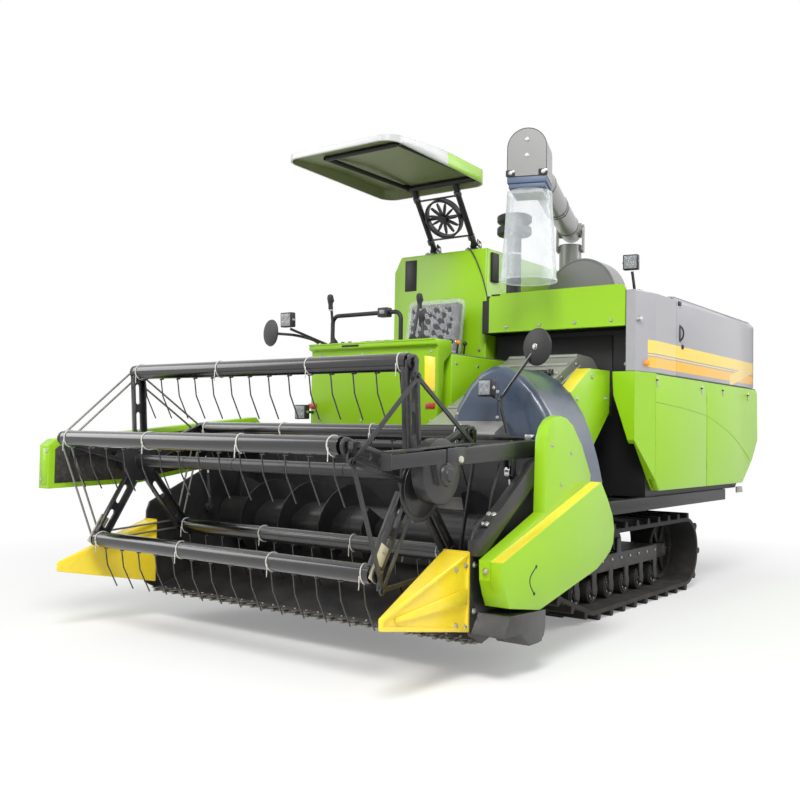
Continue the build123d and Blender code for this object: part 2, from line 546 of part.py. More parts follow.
FAN_Z, FAN_SHAFT = TANK_TOP + 230, 6
FAN_RING, FAN_RING_WALL = 142, 14
RAKE = atan2(POST_FOOT_Y - POST_HEAD_Y, POST_HEAD_Z - TANK_TOP)
fan_middle = Vector(sum(POST_X) / 2, POST_HEAD_Y + (POST_HEAD_Z - FAN_Z) / (POST_HEAD_Z - TANK_TOP)
                    * (POST_FOOT_Y - POST_HEAD_Y), FAN_Z)
fan_axis = Vector(0, -cos(RAKE), -sin(RAKE))
half_gap = (POST_X[1] - POST_X[0]) / 2 - POST_RADIUS - SEAT
with BuildPart() as canopy_fan:
    with BuildSketch(Plane(origin=fan_middle, x_dir=(1, 0, 0), z_dir=fan_axis)):
        Circle(FAN_RING)
        Rectangle(2 * half_gap, 26)
        Circle(FAN_RING - FAN_RING_WALL, mode=Mode.SUBTRACT)
    extrude(amount=20, both=True)
    with BuildSketch(Plane(origin=fan_middle - fan_axis * 20, x_dir=(1, 0, 0), z_dir=fan_axis)):
        Rectangle(2 * FAN_RING - 4, 20)
        Circle(22)
    extrude(amount=6)
    rod(tuple(fan_middle - fan_axis * 18), tuple(fan_middle + fan_axis * 14), FAN_SHAFT)
save(canopy_fan, "canopy_fan")

BLADE_COUNT = 11
with BuildPart() as fan_rotor:
    with BuildSketch(Plane(origin=fan_middle - fan_axis * 6, x_dir=(1, 0, 0), z_dir=fan_axis)):
        Circle(32)
        with PolarLocations(68, BLADE_COUNT):
            Ellipse(50, 9)
        Circle(FAN_SHAFT + RUN, mode=Mode.SUBTRACT)
    extrude(amount=16)
save(fan_rotor, "fan_rotor")

CLEANER_X, CLEANER_Y, CLEANER_RADIUS = 0, 195, 118
with BuildPart() as air_precleaner:
    for z_low, z_high, radius in ((BODY_TOP + SEAT, 2425, 50), (2425, 2488, CLEANER_RADIUS),
                                  (2488, 2508, 55), (2508, 2575, CLEANER_RADIUS)):
        rod((CLEANER_X, CLEANER_Y, z_low), (CLEANER_X, CLEANER_Y, z_high), radius)
save(air_precleaner, "air_precleaner")

with BuildPart() as mirror_right:
    footed_rod((-940, CONSOLE_FRONT + 30, CONSOLE_TOP), (-985, -900, 1690), 10)
    rod((-985, -900, 1690), (-1120, -995, 1698), 10)
    rod((-1118, -988, 1701), (-1124, -1012, 1701), 88)
save(mirror_right, "mirror_right")

with BuildPart() as work_lamps:
    for x, y, z, foot in ((-969, -1000, 1777, (-880, CONSOLE_FRONT + 30, CONSOLE_TOP)),
                          (890, 90, 2145, (890, 150, BODY_TOP))):
        block(x - 48, x + 48, y - 25, y + 25, z - 48, z + 48)
        footed_rod(foot, (x, y, z), 9)
    block(-1033, -937, -855, -805, 1144, 1240)
    rod((-970, CONSOLE_FRONT - SEAT, 1192), (-970, -820, 1192), 9)
save(work_lamps, "work_lamps")

# Unloading auger: a column, a tube that lifts on two trunnions, and a sleeve under its head
EAR_INNER, EAR_THICKNESS, TRUNNION_RADIUS = 100, 14, 25
column_head = Vector(COLUMN_X, COLUMN_Y, COLUMN_TOP)
elbow = column_head + Vector(0, 0, TRUNNION_RISE)
head = Vector(HEAD_X, HEAD_Y, HEAD_Z)
tube_run = (head - elbow).normalized()
cross = Vector(-tube_run.Y, tube_run.X, 0).normalized()
level_run = Vector(tube_run.X, tube_run.Y, 0).normalized()
chute_x = HEAD_X - level_run.X * HEAD_DEPTH / 2
chute_y = HEAD_Y - level_run.Y * HEAD_DEPTH / 2
with BuildPart() as unloader_column:
    rod((COLUMN_X, COLUMN_Y, RAIL_TOP + SEAT), tuple(column_head), COLUMN_RADIUS)
    for ear in (-1, 1):
        middle = column_head + cross * ear * (EAR_INNER + EAR_THICKNESS / 2)
        with BuildSketch(Plane(origin=middle, x_dir=(0, 0, 1), z_dir=cross)) as ear_outline:
            with Locations((35, 0)):
                Rectangle(180, 100)
            with Locations((TRUNNION_RISE, 0)):
                Circle(50)
        extrude(ear_outline.sketch, amount=EAR_THICKNESS / 2, both=True)
        rod(tuple(elbow + cross * ear * (EAR_INNER + 5)), tuple(elbow + cross * ear * (EAR_INNER - 34)),
            TRUNNION_RADIUS)
    start = column_head - cross * (EAR_INNER + 5)
    rod(tuple(start - Vector(0, 0, 35)), tuple(start - Vector(0, 0, 35) + cross * 2 * (EAR_INNER + 5)),
        30)
save(unloader_column, "unloader_column")

with BuildPart() as unloader_tube:
    rod(tuple(elbow - tube_run * TUBE_TAIL), tuple(head - tube_run * 40), TUBE_RADIUS)
    rod(tuple(elbow - cross * (EAR_INNER - GAP)), tuple(elbow + cross * (EAR_INNER - GAP)), 62)
    for ear in (-1, 1):
        rod(tuple(elbow + cross * ear * (EAR_INNER - 38)), tuple(elbow + cross * ear * (EAR_INNER - 6)),
            TRUNNION_RADIUS + RUN, mode=Mode.SUBTRACT)
    arch = HEAD_TOP - HEAD_HALF_WIDTH
    with BuildSketch(Plane(origin=(HEAD_X, HEAD_Y, arch), x_dir=-cross,
                           z_dir=-level_run)) as head_outline:
        Circle(HEAD_HALF_WIDTH)
        with Locations((0, -(arch - HEAD_BOTTOM) / 2)):
            Rectangle(2 * HEAD_HALF_WIDTH, arch - HEAD_BOTTOM)
    extrude(head_outline.sketch, amount=HEAD_DEPTH)
    with BuildSketch(Plane(origin=(chute_x, chute_y, CHUTE_BOTTOM), x_dir=cross,
                           z_dir=(0, 0, 1))) as chute_outline:
        Rectangle(2 * CHUTE_HALF, 2 * CHUTE_HALF)
    extrude(chute_outline.sketch, amount=HEAD_BOTTOM - CHUTE_BOTTOM + 2)
save(unloader_tube, "unloader_tube")

with BuildPart() as discharge_sleeve:
    with Locations((chute_x, chute_y, (SLEEVE_TOP + SLEEVE_BOTTOM) / 2)):
        Cone(SLEEVE_BOTTOM_RADIUS, SLEEVE_TOP_RADIUS, SLEEVE_TOP - SLEEVE_BOTTOM)
        Cone(SLEEVE_BOTTOM_RADIUS - SLEEVE_WALL, SLEEVE_TOP_RADIUS - SLEEVE_WALL,
             SLEEVE_TOP - SLEEVE_BOTTOM,
             mode=Mode.SUBTRACT)
save(discharge_sleeve, "discharge_sleeve")

# Feeder house, which turns about the lift line with the whole header
LIFT_EYE, LIFT_PIN_RADIUS = (-960, 420), 12
REEL_CYLINDER_BASE, REEL_CYLINDER_EYE = (-1520, 600), (-1548, 888)
def feeder_top(y):
    """The height of the feeder house's top sheet at a place along it."""
    return 1413 + (y + 375) * (1572 - 1413) / (375 - 45)


with BuildPart() as feeder_house:
    across(((BACK_Y + SHEET + SEAT, 340), (-985, 500), (-900, 610), (-770, 770), (LIFT_Y, 1190),
            (LIFT_Y, 1568), (-45, 1572), (-375, 1413),
            (BACK_Y + SHEET + SEAT, feeder_top(BACK_Y + SHEET + SEAT))), FEEDER_RIGHT, FEEDER_LEFT)
    rod((FEEDER_RIGHT, LIFT_Y, LIFT_Z), (FEEDER_LEFT, LIFT_Y, LIFT_Z), FEEDER_END_RADIUS)
    rod((FEEDER_RIGHT, LIFT_Y, LIFT_Z), (FEEDER_RIGHT + 35, LIFT_Y, LIFT_Z), 30 + RUN, mode=Mode.SUBTRACT)
    rod((FEEDER_LEFT, LIFT_Y, LIFT_Z), (FEEDER_LEFT - 35, LIFT_Y, LIFT_Z), 30 + RUN, mode=Mode.SUBTRACT)
    across(((BACK_Y, 430), (BACK_Y, 720), (BACK_Y + 150, 800), (BACK_Y + 150, 640)), FEEDER_RIGHT + 30,
           FEEDER_LEFT - 30, mode=Mode.SUBTRACT)
save(feeder_house, "feeder_house")

with BuildPart() as header_frame:
    across(((BACK_Y, 330), (BACK_Y, BACK_TOP), (BACK_Y + SHEET, BACK_TOP), (BACK_Y + SHEET, 322),
            (AUGER_Y, 316), (FLOOR_FRONT_Y, FLOOR_FRONT_Z - SHEET), (FLOOR_FRONT_Y, FLOOR_FRONT_Z),
            (AUGER_Y, 325)),
           HEADER_RIGHT, HEADER_LEFT)
    block(FEEDER_RIGHT + 30, FEEDER_LEFT - 30, BACK_Y - 5, BACK_Y + 20, 400, 720, mode=Mode.SUBTRACT)
    block(HEADER_RIGHT, HEADER_LEFT, BACK_Y - 30, BACK_Y + SHEET, BACK_TOP - 50, BACK_TOP)
    side_outline = ((BACK_Y + SHEET, 300), (BACK_Y + SHEET, BACK_TOP), (ARM_PIVOT_Y - 45, BACK_TOP),
                    (ARM_PIVOT_Y - 70, 965), (-1311, 931), (-1940, 652), (SIDE_FRONT_Y, 600),
                    (SIDE_FRONT_Y, 200),
                    (-1860, 150), (AUGER_Y, 290))
    across(side_outline, HEADER_LEFT - SIDE_THICKNESS, HEADER_LEFT)
    across(side_outline, HEADER_RIGHT, HEADER_RIGHT + SIDE_THICKNESS)
    across(((SIDE_FRONT_Y, 540), (SIDE_FRONT_Y, 603), (-1458, 936), (BACK_Y, BACK_TOP), (BACK_Y, 955),
            (-1425, 855),
            (-1900, 540)), BEAM_INNER, SHIELD_INNER - SEAT)
    for ear in (-1, 1):
        ear_x = LIFT_BASE_X + ear * 46
        block(ear_x - 8, ear_x + 8, BACK_Y + SHEET - 2, -930, 380, 460)
    rod((LIFT_BASE_X - 46, *LIFT_EYE), (LIFT_BASE_X + 46, *LIFT_EYE), LIFT_PIN_RADIUS)
    across(((SKID_FRONT - 60, SKID_BOTTOM), (SKID_FRONT, SKID_TOP), (SKID_REAR, SKID_TOP - 12),
            (SKID_REAR, SKID_BOTTOM),
            (SKID_REAR - 15, SHOE_BOTTOM + 25), (SKID_REAR - 60, SHOE_BOTTOM),
            (SKID_REAR - 150, SHOE_BOTTOM),
            (SKID_FRONT + 90, SKID_BOTTOM)), HEADER_LEFT - 2, SKID_LEFT)
    for x, face in ((LEFT_ARM_X, 1), (RIGHT_ARM_X, -1)):
        plate = HEADER_LEFT - 5 if face > 0 else HEADER_RIGHT + 5
        rod((plate, ARM_PIVOT_Y, ARM_PIVOT_Z), (x - face * ARM_WIDTH / 2, ARM_PIVOT_Y, ARM_PIVOT_Z),
            PIN_RADIUS)
        rod((plate, *REEL_CYLINDER_BASE), (x - face * 20, *REEL_CYLINDER_BASE), PIN_RADIUS)
        rod((plate, AUGER_Y, AUGER_Z), (plate - face * 55, AUGER_Y, AUGER_Z), AUGER_STUB)
save(header_frame, "header_frame")

HOOD_FRONT, HOOD_REAR, HOOD_WALL = -950, -500, 10
hood_outline = ((240, 900), (240, 1140), (400, 1385), (480, 1440), (540, 1449), (700, 1385), (844, 1234),
                (935, 1017),
                (986, 805), (900, 805), (700, 900))
hood_inside = ((250, 790), (250, 1137), (408, 1379), (484, 1430), (538, 1438), (693, 1376), (836, 1229),
               (925, 1015),
               (977, 790))
with BuildPart() as feeder_hood:
    rearward(hood_outline, HOOD_FRONT, HOOD_REAR)
    rearward(hood_inside, HOOD_FRONT + HOOD_WALL, HOOD_REAR + 1, mode=Mode.SUBTRACT)
    across(((HOOD_FRONT - 1, 700), (HOOD_FRONT - 1, feeder_top(HOOD_FRONT - 1) + SEAT),
            (HOOD_REAR + 1, feeder_top(HOOD_REAR + 1) + SEAT), (HOOD_REAR + 1, 700)), FEEDER_RIGHT,
            FEEDER_LEFT + SEAT,
           mode=Mode.SUBTRACT)
save(feeder_hood, "feeder_hood")

# Auger, held in the header's side plates
with BuildPart() as auger:
    rod((HEADER_RIGHT + SIDE_THICKNESS + GAP, AUGER_Y, AUGER_Z),
        (HEADER_LEFT - SIDE_THICKNESS - GAP, AUGER_Y, AUGER_Z),
        AUGER_TUBE_RADIUS)
    for end in (HEADER_RIGHT + SIDE_THICKNESS + GAP, HEADER_LEFT - SIDE_THICKNESS - GAP):
        rod((end - 45, AUGER_Y, AUGER_Z), (end + 45, AUGER_Y, AUGER_Z), AUGER_STUB + RUN,
            mode=Mode.SUBTRACT)
save(auger, "auger")

# Reel
EYE_PIN_RADIUS = 9
REEL_SHAFT_RADIUS = 20
ARM_FRONT_Y = -2506
with BuildPart() as reel_arms:
    for x in (LEFT_ARM_X, RIGHT_ARM_X):
        across(((ARM_FRONT_Y, 978), (ARM_FRONT_Y, 919), (REEL_Y - 75, 935), (REEL_Y - 45, 848),
                (REEL_Y + 45, 848),
                (REEL_Y + 90, 930), (-1315, 960), (ARM_PIVOT_Y + 40, 955), (ARM_PIVOT_Y + 40, 1045),
                (-1315, 1043)),
               x - ARM_WIDTH / 2, x + ARM_WIDTH / 2)
        for ear in (-1, 1):
            ear_x = x + ear * 21
            block(ear_x - 4, ear_x + 4, REEL_CYLINDER_EYE[0] - 18, REEL_CYLINDER_EYE[0] + 18,
                  REEL_CYLINDER_EYE[1] - 16, 970)
        rod((x - 21, *REEL_CYLINDER_EYE), (x + 21, *REEL_CYLINDER_EYE), EYE_PIN_RADIUS)
    rod((RIGHT_ARM_X, -1290, 1000), (LEFT_ARM_X, -1290, 1000), 30)
    rod((RING_X - 3, REEL_Y, REEL_Z - CRANK), (RING_X + RING_THICKNESS + 3, REEL_Y, REEL_Z - CRANK),
        ECCENTRIC_RADIUS - RUN)
    rod((RING_X, REEL_Y, REEL_Z), (LEFT_ARM_X, REEL_Y, REEL_Z), 45)
    rod((LEFT_ARM_X - 55, REEL_Y, REEL_Z + 15), (LEFT_ARM_X, REEL_Y, REEL_Z + 15), 140)
    for x in (LEFT_ARM_X, RIGHT_ARM_X):
        half = ARM_WIDTH / 2 + 1
        rod((x - half, ARM_PIVOT_Y, ARM_PIVOT_Z), (x + half, ARM_PIVOT_Y, ARM_PIVOT_Z), PIN_RADIUS + RUN,
            mode=Mode.SUBTRACT)
    rod((RIGHT_ARM_X - 50, REEL_Y, REEL_Z), (LEFT_ARM_X + 50, REEL_Y, REEL_Z), REEL_SHAFT_RADIUS + RUN,
        mode=Mode.SUBTRACT)
save(reel_arms, "reel_arms")

left_spider = BAR_LEFT + 5
right_spider = BAR_RIGHT - 5 - SPIDER_THICKNESS
with BuildPart() as reel_frame:
    rod((RIGHT_ARM_X - 20, REEL_Y, REEL_Z), (LEFT_ARM_X + 20, REEL_Y, REEL_Z), REEL_SHAFT_RADIUS)
    rod((right_spider, REEL_Y, REEL_Z), (left_spider + SPIDER_THICKNESS, REEL_Y, REEL_Z), 32)
    for x in (left_spider, right_spider):
        with BuildSketch(Plane.YZ.offset(x)):
            with Locations((REEL_Y, REEL_Z)):
                Circle(110)
                with PolarLocations(BAR_CIRCLE / 2 + 10, BAR_COUNT, start_angle=FIRST_BAR_ANGLE):
                    Rectangle(BAR_CIRCLE, 74)
                    with Locations((-40, 0), (110, 0)):
                        SlotOverall(110, 30, mode=Mode.SUBTRACT)
                with PolarLocations(BAR_CIRCLE, BAR_COUNT, start_angle=FIRST_BAR_ANGLE):
                    Circle(16 + RUN, mode=Mode.SUBTRACT)
        extrude(amount=SPIDER_THICKNESS)
save(reel_frame, "reel_frame")

for index in range(BAR_COUNT):
    angle = radians(FIRST_BAR_ANGLE + 360 / BAR_COUNT * index)
    bar_y = REEL_Y + BAR_CIRCLE * cos(angle)
    bar_z = REEL_Z + BAR_CIRCLE * sin(angle)
    with BuildPart() as tine_bar:
        rod((BAR_RIGHT, bar_y, bar_z), (BAR_LEFT, bar_y, bar_z), BAR_RADIUS)
        rod((BAR_RIGHT - 25, bar_y, bar_z), (BAR_LEFT + 42, bar_y, bar_z), 16)
        for i in range(TINE_COUNT):
            x = (BAR_RIGHT + BAR_LEFT) / 2 + (i - (TINE_COUNT - 1) / 2) * TINE_PITCH
            knee = (x, bar_y + TINE_LEAN * 0.25, bar_z - BAR_RADIUS - TINE_DROP * 0.4)
            rod((x, bar_y, bar_z), knee, TINE_RADIUS)
            rod(knee, (x, bar_y + TINE_LEAN, bar_z - BAR_RADIUS - TINE_DROP * 0.92), TINE_RADIUS)
        block(BAR_LEFT + 30, BAR_LEFT + 42, bar_y - 14, bar_y + 14, bar_z - CRANK, bar_z + 18)
        rod((BAR_LEFT + 36, bar_y, bar_z - CRANK), (BAR_LEFT + 62, bar_y, bar_z - CRANK), 9)
    save(tine_bar, f"tine_bar_{index + 1}")

with BuildPart() as control_ring:
    with BuildSketch(Plane.YZ.offset(RING_X)):
        with Locations((REEL_Y, REEL_Z - CRANK)):
            RegularPolygon(BAR_CIRCLE + 8, BAR_COUNT, rotation=FIRST_BAR_ANGLE)
            RegularPolygon(BAR_CIRCLE - 17, BAR_COUNT, rotation=FIRST_BAR_ANGLE, mode=Mode.SUBTRACT)
            with PolarLocations((BAR_CIRCLE + ECCENTRIC_RADIUS) / 2, BAR_COUNT,
                                start_angle=FIRST_BAR_ANGLE):
                Rectangle(BAR_CIRCLE - ECCENTRIC_RADIUS, 18)
            Circle(ECCENTRIC_RADIUS + 20)
            Circle(ECCENTRIC_RADIUS, mode=Mode.SUBTRACT)
            with PolarLocations(BAR_CIRCLE, BAR_COUNT, start_angle=FIRST_BAR_ANGLE):
                Circle(18)
                Circle(9 + RUN, mode=Mode.SUBTRACT)
    extrude(amount=RING_THICKNESS)
save(control_ring, "control_ring")

# Guards, shields and dividers
# rounded rear edge and underside, shared by the shield's tab plate and its outer box
SHIELD_REAR = ((-981, 835), (-901, 744), (-840, 660), (-817, 590), (-829, 517), (-865, 478), (-920, 448),
               (-1022, 404), (-1621, 282), (-1893, 324), (-1922, 378))
with BuildPart() as header_shield:
    across(((-1950, 526), (-1472, 703), (-1461, 1049), (-1434, 1100), (-1390, 1138), (-1325, 1160),
            (-1255, 1150), (-1183, 1115), (-1084, 1019), (-980, 870), *SHIELD_REAR, (-1945, 440)),
           SHIELD_INNER, SHIELD_TAB_OUTER)
    across(((-1953, 522), *SHIELD_REAR, (-1951, 436)), SHIELD_TAB_OUTER - 1, SHIELD_OUTER)
    for y in (-1750, -1350):
        block(HEADER_LEFT + SEAT, SHIELD_INNER + 5, y - 30, y + 30, 500, 560)
save(header_shield, "header_shield")

DIVIDERS = (  # inner and outer edge at the rear, inner and outer edge at the tip, tip's Y
    (900, HEADER_LEFT, 1032, 1052, -2600),
    (-1024, HEADER_RIGHT, -1122, -1142, -2520),
)
with BuildPart() as dividers:
    for rear_inner, rear_outer, tip_inner, tip_outer, tip_y in DIVIDERS:
        with BuildSketch(Plane.XZ.offset(-SIDE_FRONT_Y + SEAT)) as rear_end:
            with Locations(((rear_inner + rear_outer) / 2, 387)):
                Rectangle(abs(rear_outer - rear_inner), 346)
        with BuildSketch(Plane.XZ.offset(-tip_y)) as tip_end:
            with Locations(((tip_inner + tip_outer) / 2, 340)):
                Rectangle(abs(tip_outer - tip_inner), 50)
        loft((rear_end.sketch, tip_end.sketch))
save(dividers, "dividers")

with BuildPart() as reel_guard:
    across(((-2582, 745), (-2582, 970), (-2540, 1000), (-1090, 1150), (-1050, 1110), (-1050, 900),
            (-2000, 760)),
           HEADER_RIGHT - GAP - 82, HEADER_RIGHT - GAP)
    for y in (-2050, -1750):
        block(HEADER_RIGHT - GAP - 1, RIGHT_ARM_X - ARM_WIDTH / 2 - SEAT, y - 40, y + 40, 935, 980)
save(reel_guard, "reel_guard")

GUARD_INNER, GUARD_OUTER = 690, 780
with BuildPart() as feeder_drive_guard:
    across(((-492, 1000), (-492, 1317), (-253, 1469), (40, 1473), (36, 1212), (-197, 1000)), GUARD_INNER,
           GUARD_OUTER)
    for y, z in ((-400, 1150), (-120, 1360)):
        block(FEEDER_LEFT + SEAT, GUARD_INNER + 1, y - 30, y + 30, z - 30, z + 30)
save(feeder_drive_guard, "feeder_drive_guard")

FINGER_COUNT, FINGER_PITCH = 28, 76.2
FINGER_TIP_Y = -1930
with BuildPart() as cutter_bar:
    block(HEADER_RIGHT + SIDE_THICKNESS + SEAT, HEADER_LEFT - SIDE_THICKNESS - SEAT, FLOOR_FRONT_Y - 34,
          FLOOR_FRONT_Y - SEAT, 150, 170)
    middle = (HEADER_RIGHT + HEADER_LEFT) / 2
    with Locations(*[(middle + (i - (FINGER_COUNT - 1) / 2) * FINGER_PITCH,
                      (FINGER_TIP_Y + FLOOR_FRONT_Y) / 2, 157)
                     for i in range(FINGER_COUNT)]):
        Box(16, FLOOR_FRONT_Y - FINGER_TIP_Y - 2, 14)
save(cutter_bar, "cutter_bar")

MIRROR_POLE_Y = BACK_Y - 14
with BuildPart() as header_mirror:
    footed_rod((716, MIRROR_POLE_Y, BACK_TOP), (660, MIRROR_POLE_Y, 1245), 9)
    rod((660, MIRROR_POLE_Y, 1245), (882, MIRROR_POLE_Y, 1522), 9)
    with Locations((660, MIRROR_POLE_Y, 1245)):
        Sphere(9)
    rod((660, MIRROR_POLE_Y, 1245), (590, MIRROR_POLE_Y, 1275), 9)
    block(538, 628, MIRROR_POLE_Y - 25, MIRROR_POLE_Y + 25, 1265, 1361)
    rod((882, MIRROR_POLE_Y + 10, 1522), (882, MIRROR_POLE_Y - 12, 1522), 98)
save(header_mirror, "header_mirror")


def cylinder_pair(names, x, base, tip, sizes):
    """A lift cylinder's barrel and rod, drawn from its base pin to the pin at its rod's eye."""
    barrel_radius, rod_radius, barrel_share, rod_start, base_bore, eye_bore, half_width = sizes
    start, end = Vector(x, *base), Vector(x, *tip)
    run = (end - start).normalized()
    length = (end - start).length
    side = Vector(half_width, 0, 0)
    with BuildPart() as barrel:
        rod(tuple(start), tuple(start + run * length * barrel_share), barrel_radius)
        rod(tuple(start - side), tuple(start + side), base_bore + 16)
        rod(tuple(start - side * 2), tuple(start + side * 2), base_bore, mode=Mode.SUBTRACT)
        rod(tuple(start + run * (base_bore + 30)), tuple(start + run * length), rod_radius + RUN,
            mode=Mode.SUBTRACT)
    save(barrel, names[0])
    with BuildPart() as piston_rod:
        rod(tuple(start + run * rod_start), tuple(end), rod_radius)
        rod(tuple(end - side), tuple(end + side), eye_bore + 12)
        rod(tuple(end - side * 2), tuple(end + side * 2), eye_bore, mode=Mode.SUBTRACT)
    save(piston_rod, names[1])


# barrel radius, rod radius, barrel's share of the length, where the rod starts, base bore, eye bore, half width
cylinder_pair(("lift_barrel", "lift_rod"), LIFT_BASE_X, (LIFT_BASE_Y, LIFT_BASE_Z), LIFT_EYE,
              (38, 22, 0.6, 130, PIN_RADIUS + RUN, LIFT_PIN_RADIUS + 22, 30))
for side_name, x in (("left", LEFT_ARM_X), ("right", RIGHT_ARM_X)):
    cylinder_pair((f"reel_barrel_{side_name}", f"reel_rod_{side_name}"), x, REEL_CYLINDER_BASE,
                  REEL_CYLINDER_EYE,
                  (17, 8, 0.72, 55, PIN_RADIUS + RUN, EYE_PIN_RADIUS + 11, 13))
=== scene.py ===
import json
from itertools import product
from math import cos, pi, radians, sin

import bmesh
import bpy
from bpy.props import FloatProperty, FloatVectorProperty, PointerProperty
from mathutils import Matrix, Vector

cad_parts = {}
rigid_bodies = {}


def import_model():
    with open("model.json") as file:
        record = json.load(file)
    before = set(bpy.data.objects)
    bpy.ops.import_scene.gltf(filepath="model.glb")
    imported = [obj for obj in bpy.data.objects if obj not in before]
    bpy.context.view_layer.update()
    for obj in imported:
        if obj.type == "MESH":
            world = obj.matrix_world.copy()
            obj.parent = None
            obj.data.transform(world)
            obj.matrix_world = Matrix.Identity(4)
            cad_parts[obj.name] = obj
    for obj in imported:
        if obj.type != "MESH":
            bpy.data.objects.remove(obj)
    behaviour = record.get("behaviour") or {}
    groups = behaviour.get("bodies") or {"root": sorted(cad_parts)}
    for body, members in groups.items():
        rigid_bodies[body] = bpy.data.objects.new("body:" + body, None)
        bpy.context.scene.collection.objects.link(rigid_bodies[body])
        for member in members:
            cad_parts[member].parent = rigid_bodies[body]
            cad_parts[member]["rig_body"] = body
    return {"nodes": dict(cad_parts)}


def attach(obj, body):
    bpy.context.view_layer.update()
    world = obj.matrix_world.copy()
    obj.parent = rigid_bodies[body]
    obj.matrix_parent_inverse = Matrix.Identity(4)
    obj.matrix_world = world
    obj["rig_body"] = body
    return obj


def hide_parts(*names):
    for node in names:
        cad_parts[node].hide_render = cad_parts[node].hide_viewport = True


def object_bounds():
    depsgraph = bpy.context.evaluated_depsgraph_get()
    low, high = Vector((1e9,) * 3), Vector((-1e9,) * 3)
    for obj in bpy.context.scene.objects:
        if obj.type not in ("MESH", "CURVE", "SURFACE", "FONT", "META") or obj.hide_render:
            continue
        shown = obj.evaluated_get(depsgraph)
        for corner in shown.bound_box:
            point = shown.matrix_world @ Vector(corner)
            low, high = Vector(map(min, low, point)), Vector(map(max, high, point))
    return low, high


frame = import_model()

bl_info = {
    "name": "Rice Harvester Dressing",
    "version": (1, 0, 0),
    "blender": (4, 5, 0),
    "location": "View3D > Sidebar > Harvester",
    "description": "Dresses the packed solids of a tracked rice harvester with finishes, trim and a studio",
    "category": "Object",
}

CAD_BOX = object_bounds()
nodes = frame["nodes"]


def screen(red, green, blue):
    """A colour as it is written for a screen, from 0 to 255, made linear."""
    parts = [c / 255 for c in (red, green, blue)]
    return tuple(c / 12.92 if c <= 0.04045 else ((c + 0.055) / 1.055) ** 2.4 for c in parts)


def paint(label, tip, *colour):
    """A colour that can be set."""
    return FloatVectorProperty(name=label, description=tip, subtype="COLOR", default=screen(*colour))


def measure(label, tip, usual, least):
    """A length that can be set."""
    return FloatProperty(name=label, description=tip, default=usual, min=least, unit="LENGTH")


class HarvesterColours(bpy.types.PropertyGroup):
    lime: paint("Lime", "Main paint of the covers", 150, 203, 20)
    lime_faded: paint("Faded lime", "Lime paint where the sun has bleached it", 158, 208, 38)
    stripe: paint("Stripe", "Yellow bands on the guards", 240, 224, 58)
    orange: paint("Orange band", "Lower band on the grey covers", 255, 190, 60)
    grey: paint("Pale grey", "Paint of the upper covers", 164, 163, 168)
    silver: paint("Silver grey", "Paint of the unloading tube", 138, 138, 137)
    dark: paint("Dark grey", "Paint of the header and the reel", 34, 34, 37)
    chassis: paint("Chassis black", "Paint of the chassis", 16, 16, 18)
    divider: paint("Divider yellow", "Paint of the crop dividers", 252, 222, 30)
    slate: paint("Slate", "Moulded hood over the feeder", 52, 68, 90)
    olive: paint("Canopy lining", "Underside of the canopy", 124, 132, 92)
    floor: FloatVectorProperty(name="Floor", description="Studio floor", subtype="COLOR", default=(0.93, 0.93, 0.93))


class HarvesterSizes(bpy.types.PropertyGroup):
    edge: measure("Panel edge", "Rounding along a cover's edges", 0.004, 0.0)
    bolt: measure("Bolt radius", "Half the width of a common bolt head", 0.011, 0.002)
    string: measure("String radius", "Cords tied round the reel's bars", 0.0022, 0.0005)
    flight: measure("Flight radius", "Outer radius of the auger's flights", 0.215, 0.1)
    flight_pitch: measure("Flight pitch", "Advance of a flight in one turn", 0.3, 0.1)


# Shader nodes


def feed(tree, node, values):
    """Puts values on a node's sockets, or links to them."""
    for key, value in values.items():
        socket = node.inputs[key]
        if isinstance(value, bpy.types.NodeSocket):
            tree.links.new(value, socket)
        elif hasattr(socket.default_value, "__len__") and len(value) == 3 and len(socket.default_value) == 4:
            socket.default_value = (*value, 1.0)
        else:
            socket.default_value = value
    return node


def put(tree, kind, values=None, **settings):
    """Adds a node, with settings on the node and values or links on its sockets."""
    made = tree.nodes.new(kind)
    for key, value in settings.items():
        setattr(made, key, value)
    return feed(tree, made, values or {})


def calc(tree, operation, first, second=0.0, clamp=False):
    """One sum on two numbers."""
    return put(tree, "ShaderNodeMath", {0: first, 1: second}, operation=operation, use_clamp=clamp).outputs[0]


def times(tree, value, *factors):
    """Numbers multiplied together."""
    for factor in factors:
        value = calc(tree, "MULTIPLY", value, factor)
    return value


def ramp(tree, value, low, high, bottom=0.0, top=1.0):
    """A number moved from one range to another, held inside it."""
    return put(tree, "ShaderNodeMapRange", {"Value": value, "From Min": low, "From Max": high, "To Min": bottom,
                                            "To Max": top}, clamp=True).outputs["Result"]


def blend(tree, share, first, second):
    """Two colours mixed by a share."""
    return put(tree, "ShaderNodeMix", {0: share, 6: first, 7: second}, data_type="RGBA").outputs[2]


def noise(tree, point, scale, detail=3.0, rough=0.5):
    """Cloudy noise at a scale, from 0 to 1."""
    return put(tree, "ShaderNodeTexNoise", {"Vector": point, "Scale": scale, "Detail": detail,
                                            "Roughness": rough}).outputs["Fac"]


def relief(tree, height, strength, distance, **more):
    """The normal that a bump gives."""
    return put(tree, "ShaderNodeBump", {"Strength": strength, "Distance": distance, "Height": height,
                                        **more}).outputs["Normal"]


def object_point(tree):
    """The point that is shaded, in its object's coordinates."""
    return put(tree, "ShaderNodeTexCoord").outputs["Object"]


def split(tree, vector):
    """The three numbers of a vector."""
    return put(tree, "ShaderNodeSeparateXYZ", {0: vector}).outputs


